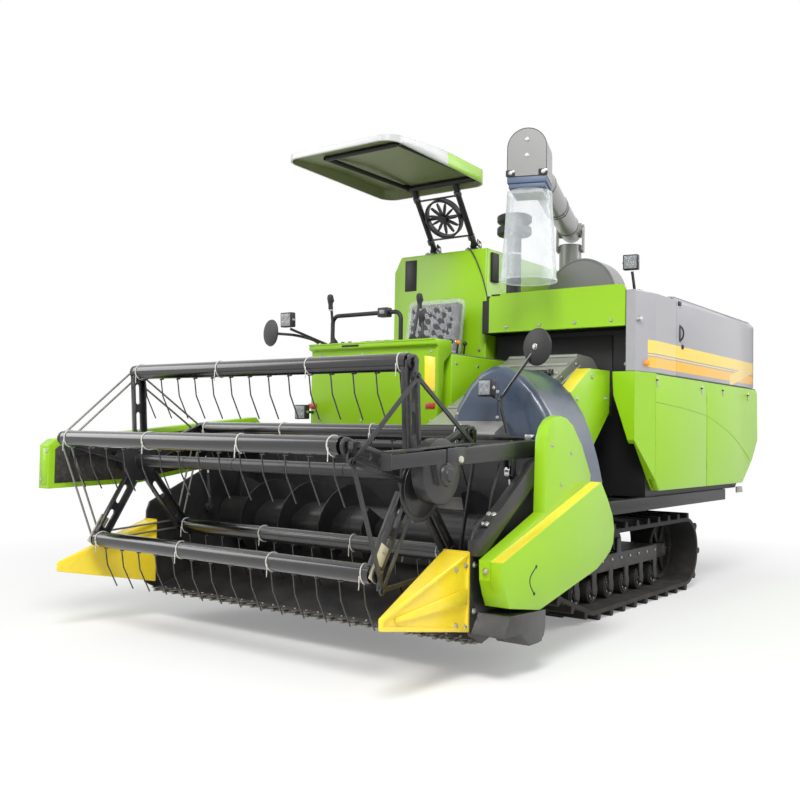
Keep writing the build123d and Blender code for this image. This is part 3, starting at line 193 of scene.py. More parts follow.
def seen_directly(tree):
    """1 for rays from the camera, a mirror or glass, and 0 for the others."""
    path = put(tree, "ShaderNodeLightPath").outputs
    return calc(tree, "MAXIMUM", path["Is Camera Ray"],
                calc(tree, "MAXIMUM", path["Is Glossy Ray"], path["Is Transmission Ray"]))


SOCKETS = {"colour": "NodeSocketColor", "value": "NodeSocketFloat", "vector": "NodeSocketVector"}
WEATHER = {"variation": 0.35, "dust": 0.3, "dust_height": 1.1, "wear": 0.4, "worn": (0.25, 0.25, 0.25),
           "rough": 0.35, "grain": 260.0, "bump": 0.08}
BAND = ("low", "high", "rise", "front", "rear")


def group(name, given, out):
    """An empty node group with named sockets, and its two ends."""
    tree = bpy.data.node_groups.new(name, "ShaderNodeTree")
    for way, sockets in (("INPUT", given), ("OUTPUT", out)):
        for label, kind in sockets.items():
            tree.interface.new_socket(name=label, in_out=way, socket_type=SOCKETS[kind])
    return tree, tree.nodes.new("NodeGroupInput").outputs, tree.nodes.new("NodeGroupOutput")


def weathered_group():
    """Paint or metal that has faded, gathered dust low down and worn at its edges."""
    kinds = {key: "colour" if isinstance(value, tuple) else "value" for key, value in WEATHER.items()}
    tree, get, out = group("Weathered", {"colour": "colour", "faded": "colour", **kinds},
                           {"colour": "colour", "rough": "value", "normal": "vector"})
    point = object_point(tree)
    normal = put(tree, "ShaderNodeNewGeometry").outputs["Normal"]
    cloud = ramp(tree, noise(tree, point, 1.6, 4.0), 0.35, 0.7)
    colour = blend(tree, times(tree, cloud, get["variation"]), get["colour"], get["faded"])
    patches = ramp(tree, noise(tree, point, 9.0, 8.0, 0.65), 0.38, 0.72)
    low = ramp(tree, split(tree, point)[2], get["dust_height"], 0.0)
    upward = ramp(tree, split(tree, normal)[2], 0.2, 0.95)
    settled = calc(tree, "ADD", low, times(tree, upward, 0.35), clamp=True)
    dust = times(tree, patches, settled, get["dust"])
    colour = blend(tree, dust, colour, screen(150, 138, 116))
    rounded = put(tree, "ShaderNodeBevel", {"Radius": 0.006}, samples=3).outputs[0]
    facing = put(tree, "ShaderNodeVectorMath", {0: rounded, 1: normal}, operation="DOT_PRODUCT").outputs["Value"]
    edge = ramp(tree, calc(tree, "SUBTRACT", 1.0, facing), 0.02, 0.22)
    chips = ramp(tree, noise(tree, point, 38.0, 6.0, 0.7), 0.5, 0.68)
    colour = blend(tree, times(tree, edge, chips, get["wear"]), colour, get["worn"])
    grain = noise(tree, point, get["grain"], 4.0, 0.6)
    rough = calc(tree, "ADD", get["rough"], times(tree, dust, 0.35))
    rough = calc(tree, "ADD", rough, times(tree, calc(tree, "SUBTRACT", grain, 0.5), 0.12), clamp=True)
    feed(tree, out, {"colour": colour, "rough": rough,
                     "normal": relief(tree, grain, get["bump"], 0.002, Normal=rounded)})


def band_group():
    """A mask for a band between two heights that rise along the machine."""
    tree, get, out = group("Band", dict.fromkeys(BAND, "value"), {"mask": "value"})
    _, along, height = split(tree, object_point(tree))
    level = calc(tree, "SUBTRACT", height, times(tree, along, get["rise"]))
    tests = [calc(tree, sign, value, get[key]) for sign, value, key in (
        ("GREATER_THAN", level, "low"), ("LESS_THAN", level, "high"),
        ("GREATER_THAN", along, "front"), ("LESS_THAN", along, "rear"))]
    feed(tree, out, {"mask": times(tree, *tests)})


FINISHES = {}


def lighter(colour, share):
    """A colour made lighter, or darker by a share below 1."""
    return tuple(min(1.0, c * share) for c in colour)


def fresh(name):
    """Adds a material, and gives its node tree and its shader."""
    material = FINISHES[name] = bpy.data.materials.new(name)
    material.use_nodes = True
    return material.node_tree, material.node_tree.nodes["Principled BSDF"]


def finish(name, colour, faded, bands=(), metal=0.0, coat=0.0, **weather):
    """A finish on the weathered group. Faded is a colour or a share; bands are (*BAND, colour)."""
    tree, shader = fresh(name)
    colour, faded = tuple(colour), lighter(colour, faded) if isinstance(faded, float) else tuple(faded)
    for *place, band_colour in bands:
        mask = put(tree, "ShaderNodeGroup", dict(zip(BAND, place)),
                   node_tree=bpy.data.node_groups["Band"]).outputs["mask"]
        colour, faded = (blend(tree, mask, colour, band_colour),
                         blend(tree, mask, faded, lighter(band_colour, 1.1)))
    made = put(tree, "ShaderNodeGroup", {"colour": colour, "faded": faded, **WEATHER, **weather},
               node_tree=bpy.data.node_groups["Weathered"]).outputs
    feed(tree, shader, {"Base Color": made["colour"], "Roughness": made["rough"], "Normal": made["normal"],
                        "Metallic": metal, "Coat Weight": coat, "Coat Roughness": 0.12})


def clear_finish(name, tint, alpha, rough):
    """Thin clear film with soft creases. It is lighter along its folds as painted highlights, and more opaque towards
    grazing angles as a painted sheen.
    """
    tree, shader = fresh(name)
    crease = put(tree, "ShaderNodeTexNoise", {"Vector": object_point(tree), "Scale": 11.0, "Detail": 3.0,
                                              "Distortion": 1.6}).outputs["Fac"]
    # Painted highlights: the folds are made lighter and a little more opaque.
    fold_highlight = ramp(tree, crease, 0.3, 0.7)
    # Painted sheen: the film is made more opaque towards grazing angles.
    rim = put(tree, "ShaderNodeLayerWeight", {"Blend": 0.35}).outputs["Facing"]
    share = calc(tree, "ADD", times(tree, rim, 0.45), times(tree, fold_highlight, 0.05))
    feed(tree, shader, {"Alpha": calc(tree, "ADD", share, alpha, clamp=True), "Roughness": rough,
                        "Base Color": blend(tree, fold_highlight, tint, lighter(tint, 1.3)),
                        "Normal": relief(tree, crease, 0.25, 0.006)})


def lens_finish(name, colour, glow, scale):
    """Moulded lens with a grid of small prisms, with a faint glow at the prisms' centres as painted glints."""
    tree, shader = fresh(name)
    cells = put(tree, "ShaderNodeTexVoronoi", {"Vector": object_point(tree), "Scale": scale,
                                               "Randomness": 0.25}).outputs["Distance"]
    shade = ramp(tree, cells, 0.0, 0.6)
    # The emission is a painted glint: the prisms' centres glow although the lens is unlit.
    feed(tree, shader, {"Base Color": blend(tree, shade, colour, lighter(colour, 0.45)),
                        "Emission Color": blend(tree, shade, lighter(colour, glow), (0.0, 0.0, 0.0)),
                        "Emission Strength": 1.0, "Normal": relief(tree, cells, 0.6, 0.003),
                        "Roughness": 0.12, "Coat Weight": 0.6})


# Shapes: each is a small bmesh that a Piece takes in

LEFT, RIGHT, REAR, FRONT, UP = (Vector(way) for way in ((1, 0, 0), (-1, 0, 0), (0, 1, 0), (0, -1, 0), (0, 0, 1)))
CORNERS = ((-1, -1), (1, -1), (1, 1), (-1, 1))


def around(count, first=0.0, across=REAR, up=UP):
    """Directions spread evenly about an axis, which is X unless told otherwise."""
    turns = [first + 2 * pi * k / count for k in range(count)]
    return [across * cos(turn) + up * sin(turn) for turn in turns]


def path(place, *offsets):
    """Points told by their offsets from a place."""
    return [Vector(place) + Vector(offset) for offset in offsets]


def round_off(shape, chosen, offset, segments):
    """Rounds chosen edges."""
    bmesh.ops.bevel(shape, geom=chosen, offset=offset, offset_type="OFFSET", segments=segments, profile=0.5,
                    affect="EDGES", material=-1, clamp_overlap=True)


def soften(shape, edge, segments=2, sharp=30.0, shortest=0.0):
    """Rounds the edges of a shape that are sharper than an angle."""
    if edge > 0:
        round_off(shape, [e for e in shape.edges if len(e.link_faces) == 2 and e.calc_length() >= shortest
                          and e.calc_face_angle(0.0) > radians(sharp)], edge, segments)


def box(low, high, edge=0.003, segments=2):
    """A block between two corners, with rounded edges."""
    shape = bmesh.new()
    bmesh.ops.create_cube(shape, size=1.0)
    low, high = Vector(low), Vector(high)
    bmesh.ops.scale(shape, vec=high - low, verts=shape.verts)
    bmesh.ops.translate(shape, vec=(low + high) / 2, verts=shape.verts)
    soften(shape, edge, segments)
    return shape


def bar(start, end, radius, far_radius=None, sides=20, edge=0.0):
    """A round bar or a cone between two points."""
    start, end = Vector(start), Vector(end)
    shape = bmesh.new()
    bmesh.ops.create_cone(shape, cap_ends=True, segments=sides, radius1=radius,
                          radius2=radius if far_radius is None else far_radius, depth=(end - start).length)
    soften(shape, edge, 2, 50.0)
    turn = (end - start).to_track_quat("Z", "Y").to_matrix().to_4x4()
    bmesh.ops.transform(shape, matrix=Matrix.Translation((start + end) / 2) @ turn, verts=shape.verts)
    return shape


def turned(centre, axis, profile, sides=40, side=None):
    """A profile of (radius, height) points spun about an axis."""
    shape = bmesh.new()
    centre, axis = Vector(centre), Vector(axis).normalized()
    side = side or axis.orthogonal().normalized()
    points = [shape.verts.new(centre + side * r + axis * h) for r, h in profile]
    edges = [shape.edges.new(pair) for pair in zip(points, points[1:])]
    bmesh.ops.spin(shape, geom=points + edges, cent=centre, axis=axis, dvec=(0, 0, 0), angle=2 * pi, steps=sides,
                   use_merge=True, use_duplicate=False)
    bmesh.ops.remove_doubles(shape, verts=shape.verts, dist=1e-6)
    return shape


def hoop(centre, axis, outer, inner, thickness, sides=40, edge=0.0):
    """A flat ring about an axis."""
    half = thickness / 2
    shape = turned(centre, axis, ((outer, -half), (outer, half), (inner, half), (inner, -half), (outer, -half)), sides)
    soften(shape, edge, 2, 50.0)
    return shape


def slab(corners, push, edge=0.003, segments=2):
    """A flat outline pushed out into a plate."""
    shape = bmesh.new()
    face = shape.faces.new([shape.verts.new(c) for c in corners])
    grown = bmesh.ops.extrude_face_region(shape, geom=[face])["geom"]
    bmesh.ops.translate(shape, vec=push, verts=[g for g in grown if isinstance(g, bmesh.types.BMVert)])
    bmesh.ops.recalc_face_normals(shape, faces=shape.faces)
    soften(shape, edge, segments)
    return shape


def side_slab(points, x_low, x_high, edge=0.003):
    """A plate from a side view of (y, z) points."""
    return slab([(x_low, y, z) for y, z in points], (x_high - x_low, 0, 0), edge)


def panel(centre, side, up, push, edge=0.003, segments=2):
    """A plate about a centre; side and up reach half across it."""
    return slab([centre + side * a + up * b for a, b in CORNERS], push, edge, segments)


def pipe(points, radius, sides=8):
    """A bent rod through points, from a curve's round bevel."""
    curve = bpy.data.curves.new("pipe", "CURVE")
    curve.dimensions, curve.resolution_u = "3D", 6
    curve.bevel_depth, curve.bevel_resolution, curve.use_fill_caps = radius, max(1, sides // 4), True
    spline = curve.splines.new("NURBS")
    spline.points.add(len(points) - 1)
    for place, point in zip(spline.points, points):
        place.co = (*point, 1.0)
    spline.use_endpoint_u, spline.order_u = True, 3
    holder = bpy.data.objects.new("pipe", curve)
    mesh = bpy.data.meshes.new_from_object(holder)
    shape = bmesh.new()
    shape.from_mesh(mesh)
    bmesh.ops.remove_doubles(shape, verts=shape.verts, dist=1e-6)
    bpy.data.objects.remove(holder)
    bpy.data.curves.remove(curve)
    bpy.data.meshes.remove(mesh)
    return shape


def bolt(place, outward, radius, length=None):
    """A hexagon head on its washer."""
    place, outward = Vector(place), Vector(outward).normalized()
    shape = bar(place, place + outward * radius * 0.18, radius * 1.35, sides=14)
    merge(shape, bar(place + outward * radius * 0.15, place + outward * (length or radius * 0.8), radius,
                     radius * 0.94, sides=6))
    return shape


def tilted(shape, tilt):
    """Leans a shape back about the foot of the seat's back."""
    bmesh.ops.rotate(shape, verts=shape.verts, cent=(0, -0.09, 1.56), matrix=Matrix.Rotation(-tilt, 3, "X"))
    return shape


def as_mesh(name, shape):
    """A shape made into a mesh, and freed."""
    mesh = bpy.data.meshes.new(name)
    shape.to_mesh(mesh)
    shape.free()
    return mesh


def merge(shape, other):
    """Adds one shape to another and frees it."""
    scratch = as_mesh("scratch", other)
    shape.from_mesh(scratch)
    bpy.data.meshes.remove(scratch)


def place_object(name, data):
    """An object with its data, in the scene."""
    thing = bpy.data.objects.new(name, data)
    bpy.context.scene.collection.objects.link(thing)
    return thing


class Piece:
    """One object gathered from shapes, each with its own finish; the first finish is the usual one."""

    def __init__(self, name, usual):
        self.name, self.finishes, self.mesh = name, [usual], bmesh.new()

    def take(self, shape, label=None, smooth=True, face_out=True):
        """Adds a shape with a finish."""
        if face_out:
            bmesh.ops.recalc_face_normals(shape, faces=shape.faces)
        label = label or self.finishes[0]
        if label not in self.finishes:
            self.finishes.append(label)
        for face in shape.faces:
            face.material_index, face.smooth = self.finishes.index(label), smooth
        merge(self.mesh, shape)

    def bolts(self, places, outward, radius=0.009, length=None, label="Zinc"):
        """Adds hexagon heads that face one way."""
        for place in places:
            self.take(bolt(place, outward, radius, length), label, smooth=False)

    def done(self, body, *replaced, slot=None, flat_over=35.0):
        """Makes the object, gives it its finishes and lets it ride on a body."""
        mesh = as_mesh(self.name, self.mesh)
        for label in self.finishes:
            mesh.materials.append(FINISHES[label])
        mesh.set_sharp_from_angle(angle=radians(flat_over))
        thing = place_object(self.name, mesh)
        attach(thing, body)
        if replaced:
            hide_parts(*replaced)
        return thing


def rounded_copy(node, width, label, flat_over=35.0):
    """A solid's own shape with rounded edges, in its place."""
    source = nodes[node]
    shape = bmesh.new()
    shape.from_mesh(source.data)
    bmesh.ops.remove_doubles(shape, verts=shape.verts, dist=2e-6)
    bmesh.ops.dissolve_limit(shape, angle_limit=radians(0.6), use_dissolve_boundaries=False, verts=shape.verts,
                             edges=shape.edges)
    soften(shape, width, 2, 32.0, 5 * width)
    piece = Piece(node + "_body", label)
    piece.take(shape, face_out=False)
    return piece.done(source["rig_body"], node, flat_over=flat_over)


# Where the frame's parts are, in metres
REEL = Vector((0, -2.116, 0.89))
BAR_CIRCLE, BAR_RADIUS, BAR_COUNT, FIRST_BAR = 0.48, 0.04, 5, radians(21.8)
BAR_WAYS = around(BAR_COUNT, FIRST_BAR)
BAR_PLACES = [REEL + way * BAR_CIRCLE for way in BAR_WAYS]
BAR_RIGHT, BAR_LEFT = -0.99, 0.83
TINE_COUNT, TINE_PITCH, TINE_MIDDLE = 14, 0.132, -0.08
HEADER_RIGHT, HEADER_LEFT = -1.13, 1.04
KNIFE_COUNT, KNIFE_PITCH = 28, 0.0762
AUGER, AUGER_TUBE = Vector((0, -1.325, 0.565)), 0.094
# The outer face of the lid and the doors, and the tops of the lid and the tank
SIDE, LID_TOP, TANK_TOP = 0.98, 2.0005, 2.3605
# The unloading tube's head and elbow, the way it runs seen from above, and the way across it
HEAD, ELBOW = Vector((0.421, -0.4, 2.818)), Vector((-0.37, 1.79, 2.796))
RUN, TURN = Vector((0.33971, -0.94053, 0)), Vector((0.94053, 0.33971, 0))
HEAD_FOOT, CHUTE_MIDDLE = 2.643, -0.12
SLEEVE_TOP, SLEEVE_LENGTH = 2.566, 0.55
SEAT_TILT, CHANNELS = 0.155, (-0.615, -0.495, -0.375)
LAMP_HALF, LAMP_DEPTH = 0.047, 0.046
FLOOR_GAP = 0.0005


class HARVESTER_OT_finishes(bpy.types.Operator):
    """Builds the finishes and gives every solid its own"""
    bl_idname = "harvester.finishes"
    bl_label = "Finishes"

    def execute(self, context):
        hue = context.scene.harvester_colours
        weathered_group()
        band_group()
        pale = screen(246, 214, 110)
        finish("Lime paint", hue.lime, hue.lime_faded, dust=0.12, wear=0.2, rough=0.36, coat=0.1)
        finish("Stripe paint", hue.stripe, 1.1, dust=0.15, wear=0.3, rough=0.32, coat=0.25)
        finish("Grey paint", hue.grey, 1.12, dust=0.2, dust_height=1.5, wear=0.2, rough=0.32, coat=0.3)
        finish("Banded grey paint", hue.grey, 1.1, dust=0.15, wear=0.2, rough=0.32, coat=0.3, bands=(
            (1.592, 1.672, 0.0, 0.19, 2.4, screen(250, 216, 96)), (1.502, 1.566, 0.0, 0.19, 2.4, tuple(hue.orange)),
            (1.575, 1.583, 0.0, 0.19, 2.4, pale), (1.05, 1.13, 0.235, 1.75, 2.4, pale)))
        finish("Silver paint", hue.silver, 1.15, dust=0.25, dust_height=1.5, wear=0.2, rough=0.34, metal=0.15, coat=0.2)
        finish("Sheet steel", screen(168, 168, 166), screen(205, 205, 202), variation=0.7, dust=0.55, dust_height=1.6,
               wear=0.5, worn=screen(120, 100, 78), rough=0.34, grain=120.0, bump=0.15, metal=0.55)
        finish("Dark paint", hue.dark, 1.3, dust=0.12, wear=0.5, worn=screen(150, 150, 150), rough=0.36, coat=0.15)
        finish("Gloss black", screen(12, 12, 14), screen(22, 22, 25), dust=0.06, wear=0.25,
               worn=screen(140, 140, 140), rough=0.16, coat=0.8)
        finish("Chassis paint", hue.chassis, 1.3, dust=0.16, dust_height=0.5, wear=0.5, worn=screen(110, 92, 74),
               rough=0.5)
        finish("Cast iron", screen(27, 27, 29), screen(40, 39, 38), dust=0.2, dust_height=0.5, wear=0.6,
               worn=screen(120, 116, 110), rough=0.6, grain=90.0, bump=0.3)
        finish("Track rubber", screen(17, 17, 17), screen(30, 30, 29), variation=0.5, dust=0.14, dust_height=0.5,
               wear=0.5, worn=screen(84, 80, 74), rough=0.78, grain=150.0, bump=0.35)
        finish("Divider paint", hue.divider, screen(255, 232, 96), dust=0.2, wear=0.35, worn=screen(120, 110, 90),
               rough=0.3, coat=0.3)
        finish("Slate moulding", hue.slate, 1.3, variation=0.5, dust_height=1.7, wear=0.15, rough=0.3, coat=0.5,
               grain=420.0)
        finish("Black plastic", screen(30, 30, 32), screen(50, 50, 52), dust=0.25, wear=0.2, rough=0.45, grain=500.0,
               bump=0.2)
        finish("Zinc", screen(205, 205, 200), screen(170, 168, 160), variation=0.6, dust=0.2, wear=0.2, rough=0.3,
               metal=0.85)
        finish("Bare steel", screen(150, 148, 144), screen(112, 108, 102), variation=0.8, dust=0.35, wear=0.5,
               worn=screen(190, 188, 184), rough=0.36, grain=200.0, metal=0.8)
        finish("Chrome", screen(225, 226, 228), screen(205, 206, 208), dust=0.1, wear=0.0, rough=0.1, bump=0.01,
               metal=1.0)
        finish("Pale bracket", screen(208, 206, 186), screen(188, 180, 140), variation=0.8,
               worn=screen(120, 112, 96), rough=0.4, metal=0.2)
        finish("White string", screen(232, 232, 226), screen(200, 198, 188), dust=0.2, wear=0.0, rough=0.8,
               grain=900.0, bump=0.4)
        finish("Canopy white", screen(206, 208, 206), screen(188, 190, 187), dust=0.2, dust_height=3.0, wear=0.1,
               rough=0.3, coat=0.3)
        finish("Canopy lining", hue.olive, 0.8, variation=0.6, dust=0.2, wear=0.0, rough=0.55, grain=300.0, bump=0.15)
        finish("Seat vinyl", screen(34, 34, 36), screen(52, 52, 54), dust=0.1, wear=0.0, rough=0.42, grain=420.0,
               bump=0.35)
        finish("Dark grille", screen(18, 18, 19), screen(30, 30, 30), dust=0.4, dust_height=1.6, wear=0.2, rough=0.6)
        finish("Orange knob", screen(240, 150, 30), screen(255, 168, 44), dust=0.1, wear=0.1)
        finish("Blue straps", screen(86, 102, 126), screen(104, 120, 142), dust=0.1, wear=0.0, rough=0.5, grain=600.0)
        finish("Canopy side", screen(196, 198, 197), screen(180, 182, 180), dust=0.2, dust_height=3.0, wear=0.1,
               rough=0.3, coat=0.3, bands=((2.0, 3.0, 0.0, -0.5, 0.3, tuple(hue.lime)),))
        clear_finish("Clear sleeve", screen(222, 228, 236), 0.1, 0.12)
        clear_finish("Seat film", screen(232, 240, 246), 0.16, 0.08)
        # The third number sets the painted glint that glows in the lens and the reflector.
        lens_finish("Lamp lens", screen(176, 180, 184), 0.08, 240.0)
        lens_finish("Red reflector", screen(214, 26, 22), 0.12, 160.0)
        plain = {
            "Chassis paint": "chassis_frame side_sills track_frames platform seat_base canopy_posts handrail"
                             " straw_outlet thresher_housing",
            "Cast iron": "track_wheels drive_gearbox engine_block",
            "Track rubber": "track_left track_right",
            "Lime paint": "grain_tank front_console side_console front_panels side_door_front side_door_rear"
                          " reel_guard header_shield feeder_drive_guard",
            "Banded grey paint": "upper_lid corner_cover",
            "Silver paint": "unloader_tube unloader_column elevator_dome",
            "Sheet steel": "feeder_house",
            "Slate moulding": "feeder_hood",
            "Dark paint": "header_frame reel_arms reel_frame control_ring auger lift_barrel reel_barrel_left"
                          " reel_barrel_right",
            "Gloss black": "tine_bar_1 tine_bar_2 tine_bar_3 tine_bar_4 tine_bar_5",
            "Black plastic": "air_precleaner canopy_fan fan_rotor control_levers header_mirror mirror_right work_lamps",
            "Divider paint": "dividers",
            "Bare steel": "cutter_bar",
            "Canopy white": "canopy",
            "Clear sleeve": "discharge_sleeve",
            "Seat vinyl": "seat_cushion seat_back",
            "Chrome": "lift_rod reel_rod_left reel_rod_right",
        }
        for label, names in plain.items():
            for name in names.split():
                nodes[name].data.materials.clear()
                nodes[name].data.materials.append(FINISHES[label])
        return {"FINISHED"}


class HARVESTER_OT_rounded(bpy.types.Operator):
    """Stands rounded copies of the sharp solids in their places"""
    bl_idname = "harvester.rounded"
    bl_label = "Rounded covers"

    def execute(self, context):
        edge = context.scene.harvester_sizes.edge
        flattest = {"corner_cover": 6.0, "front_panels": 6.0}
        striped = {"header_shield": (0.9, 1.139), "feeder_drive_guard": (0.55, 0.0)}
        for share, names in (
                (2.5, "grain_tank"), (1.5, "front_console corner_cover side_console upper_lid"),
                (1.0, "front_panels side_door_front side_door_rear reel_guard header_shield feeder_drive_guard"
                      " feeder_house elevator_dome"),
                (0.6, "header_frame reel_arms platform seat_base chassis_frame side_sills track_frames drive_gearbox"
                      " straw_outlet reel_frame")):
            for name in names.split():
                copy = rounded_copy(name, edge * share, nodes[name].data.materials[0].name, flattest.get(name, 35.0))
                if name in striped:
                    copy.data.materials.append(FINISHES["Stripe paint"])
                    level, inner = striped[name]
                    for face in copy.data.polygons:
                        if face.normal.z > level and face.center.x > inner:
                            face.material_index = 1
        return {"FINISHED"}


class HARVESTER_OT_tracks(bpy.types.Operator):
    """Adds hubs, covers and spring tensioners to the undercarriage"""
    bl_idname = "harvester.tracks"
    bl_label = "Undercarriage detail"

    def execute(self, context):
        piece = Piece("undercarriage_detail", "Cast iron")
        for side in (-1, 1):
            out = LEFT * side
            for index in range(6):
                hub = Vector((side * 0.7455, -0.35 + index * 0.24, 0.135))
                piece.take(turned(hub, out, ((0, 0.018), (0.026, 0.018), (0.034, 0.008), (0.036, -0.004)), 20))
                piece.take(hoop(hub, out, 0.062, 0.052, 0.01, 28))
                piece.bolts([hub + way * 0.047 for way in around(5)], out, 0.006)
            idler = Vector((side * 0.68, 1.15, 0.27))
            piece.take(hoop(idler, out, 0.205, 0.188, 0.012, 48))
            inner = idler - out * 0.02
            for way in around(6):
                piece.take(bar(inner + way * 0.05, inner + way * 0.185, 0.016, 0.012, 10))
            piece.take(turned(idler, out, ((0, 0.03), (0.03, 0.03), (0.05, 0.015), (0.055, -0.01)), 24))
            sprocket = Vector((side * 0.691, -0.685, 0.33))
            piece.bolts([sprocket + way * 0.045 for way in around(8)], out, 0.008)
            piece.take(bar((side * 0.62, 0.9, 0.285), (side * 0.62, 1.09, 0.272), 0.022, sides=16), "Zinc")
            piece.bolts([(side * 0.7615, -0.42 + 0.14 * k, 0.3) for k in range(10)], out, 0.007)
            piece.bolts(product((side * 0.42, side * 0.86), (-0.635, -0.035, 0.865, 1.715), (0.65,)), FRONT)
            piece.take(side_slab(((-0.6, 0.69), (1.76, 0.69), (1.76, 0.64), (-0.6, 0.64)), side * 0.9405,
                                 side * 0.9435, 0.001), "Chassis paint")
        piece.done("machine", slot="gearbox_iron")
        return {"FINISHED"}


class HARVESTER_OT_reel(bpy.types.Operator):
    """Adds the reel's tie rods, plates, brackets and strings"""
    bl_idname = "harvester.reel"
    bl_label = "Reel detail"

    def execute(self, context):
        size = context.scene.harvester_sizes
        piece = Piece("reel_detail", "Dark paint")
        piece.take(box(REEL + Vector((0.868, 0.028, 0.36)), REEL + Vector((0.873, 0.108, 0.51)), 0.001),
                   "Divider paint")
        for x, out in ((BAR_LEFT + 0.017, LEFT), (BAR_RIGHT - 0.017, RIGHT)):
            hub = REEL + LEFT * x
            ends = [place + LEFT * x for place in BAR_PLACES]
            piece.take(turned(hub, out, ((0.036, 0.022), (0.075, 0.022), (0.082, 0.012), (0.104, 0.01),
                                         (0.108, 0.0)), 40))
            piece.bolts([hub + out * 0.011 + way * 0.092 for way in around(4, pi / 4)], out, size.bolt)
            for index, along in enumerate(BAR_WAYS):
                across = LEFT.cross(along)
                for edge_side in (across, -across):
                    foot = hub + along * 0.11 + edge_side * 0.033 - out * 0.012
                    reach, lip = along * 0.35, edge_side * 0.005
                    piece.take(slab((foot, foot + reach, foot + reach + lip, foot + lip), out * -0.022, 0.001))
                piece.take(hoop(ends[index] + out * 0.004, LEFT, 0.036, 0.0185, 0.014, 24, 0.001))
                if index == 3:
                    start, reach = hub + along * 0.355 + across * 0.012 + out * 0.001, along * 0.16
                    piece.take(slab((start, start + reach, start + reach - across * 0.055, start - across * 0.055),
                                    out * 0.004, 0.0008), "Pale bracket")
                    piece.bolts([hub + along * r - across * 0.012 + out * 0.004 for r in (0.38, 0.46)], out, 0.008)
                if x < 0:
                    near, far = ends[index], ends[(index + 1) % BAR_COUNT]
                    inward = (hub - (near + far) / 2).normalized()
                    for shift in (-0.014, 0.03):
                        step = inward * shift + RIGHT * 0.012
                        piece.take(bar(near + step, far + step, 0.0055, sides=10), "Bare steel")
        for x in (-0.62, -0.26, 0.1, 0.46):
            piece.take(hoop(REEL + LEFT * x, LEFT, 0.0335, 0.0325, 0.02, 30))
        piece.done("reel", slot="grey_black")

        for index, place in enumerate(BAR_PLACES, 1):
            tines = Piece(f"bar_trim_{index}", "Gloss black")
            for x, out in ((BAR_RIGHT, RIGHT), (BAR_LEFT, LEFT)):
                tines.take(turned(place + LEFT * x, out, ((0.03, 0.0), (0.024, 0.003), (0.0, 0.003)), 32))
            for k in range(TINE_COUNT):
                clip = place + LEFT * (TINE_MIDDLE + (k - (TINE_COUNT - 1) / 2) * TINE_PITCH)
                tines.take(pipe(path(clip, (0.03, -0.002, -0.0415), (0.012, -0.003, -0.045), (0, 0, -0.044)),
                                0.0035, 6))
            for k, x in enumerate((-0.955, -0.34, 0.27, 0.79)):
                knot = place + LEFT * x
                lean = -0.16 * (-1) ** (k + index)
                tines.take(hoop(knot, (1, lean, 0.1), BAR_RADIUS + 2 * size.string, BAR_RADIUS + 0.0002,
                                2 * size.string, 26), "White string")
                tines.take(pipe(path(knot, (0, -0.041, -0.006), (0.006, -0.047, -0.03), (0.002, -0.044, -0.062)),
                                size.string, 6), "White string")
            tines.done(f"tine_bar_{index}", slot="tine_black")
        return {"FINISHED"}


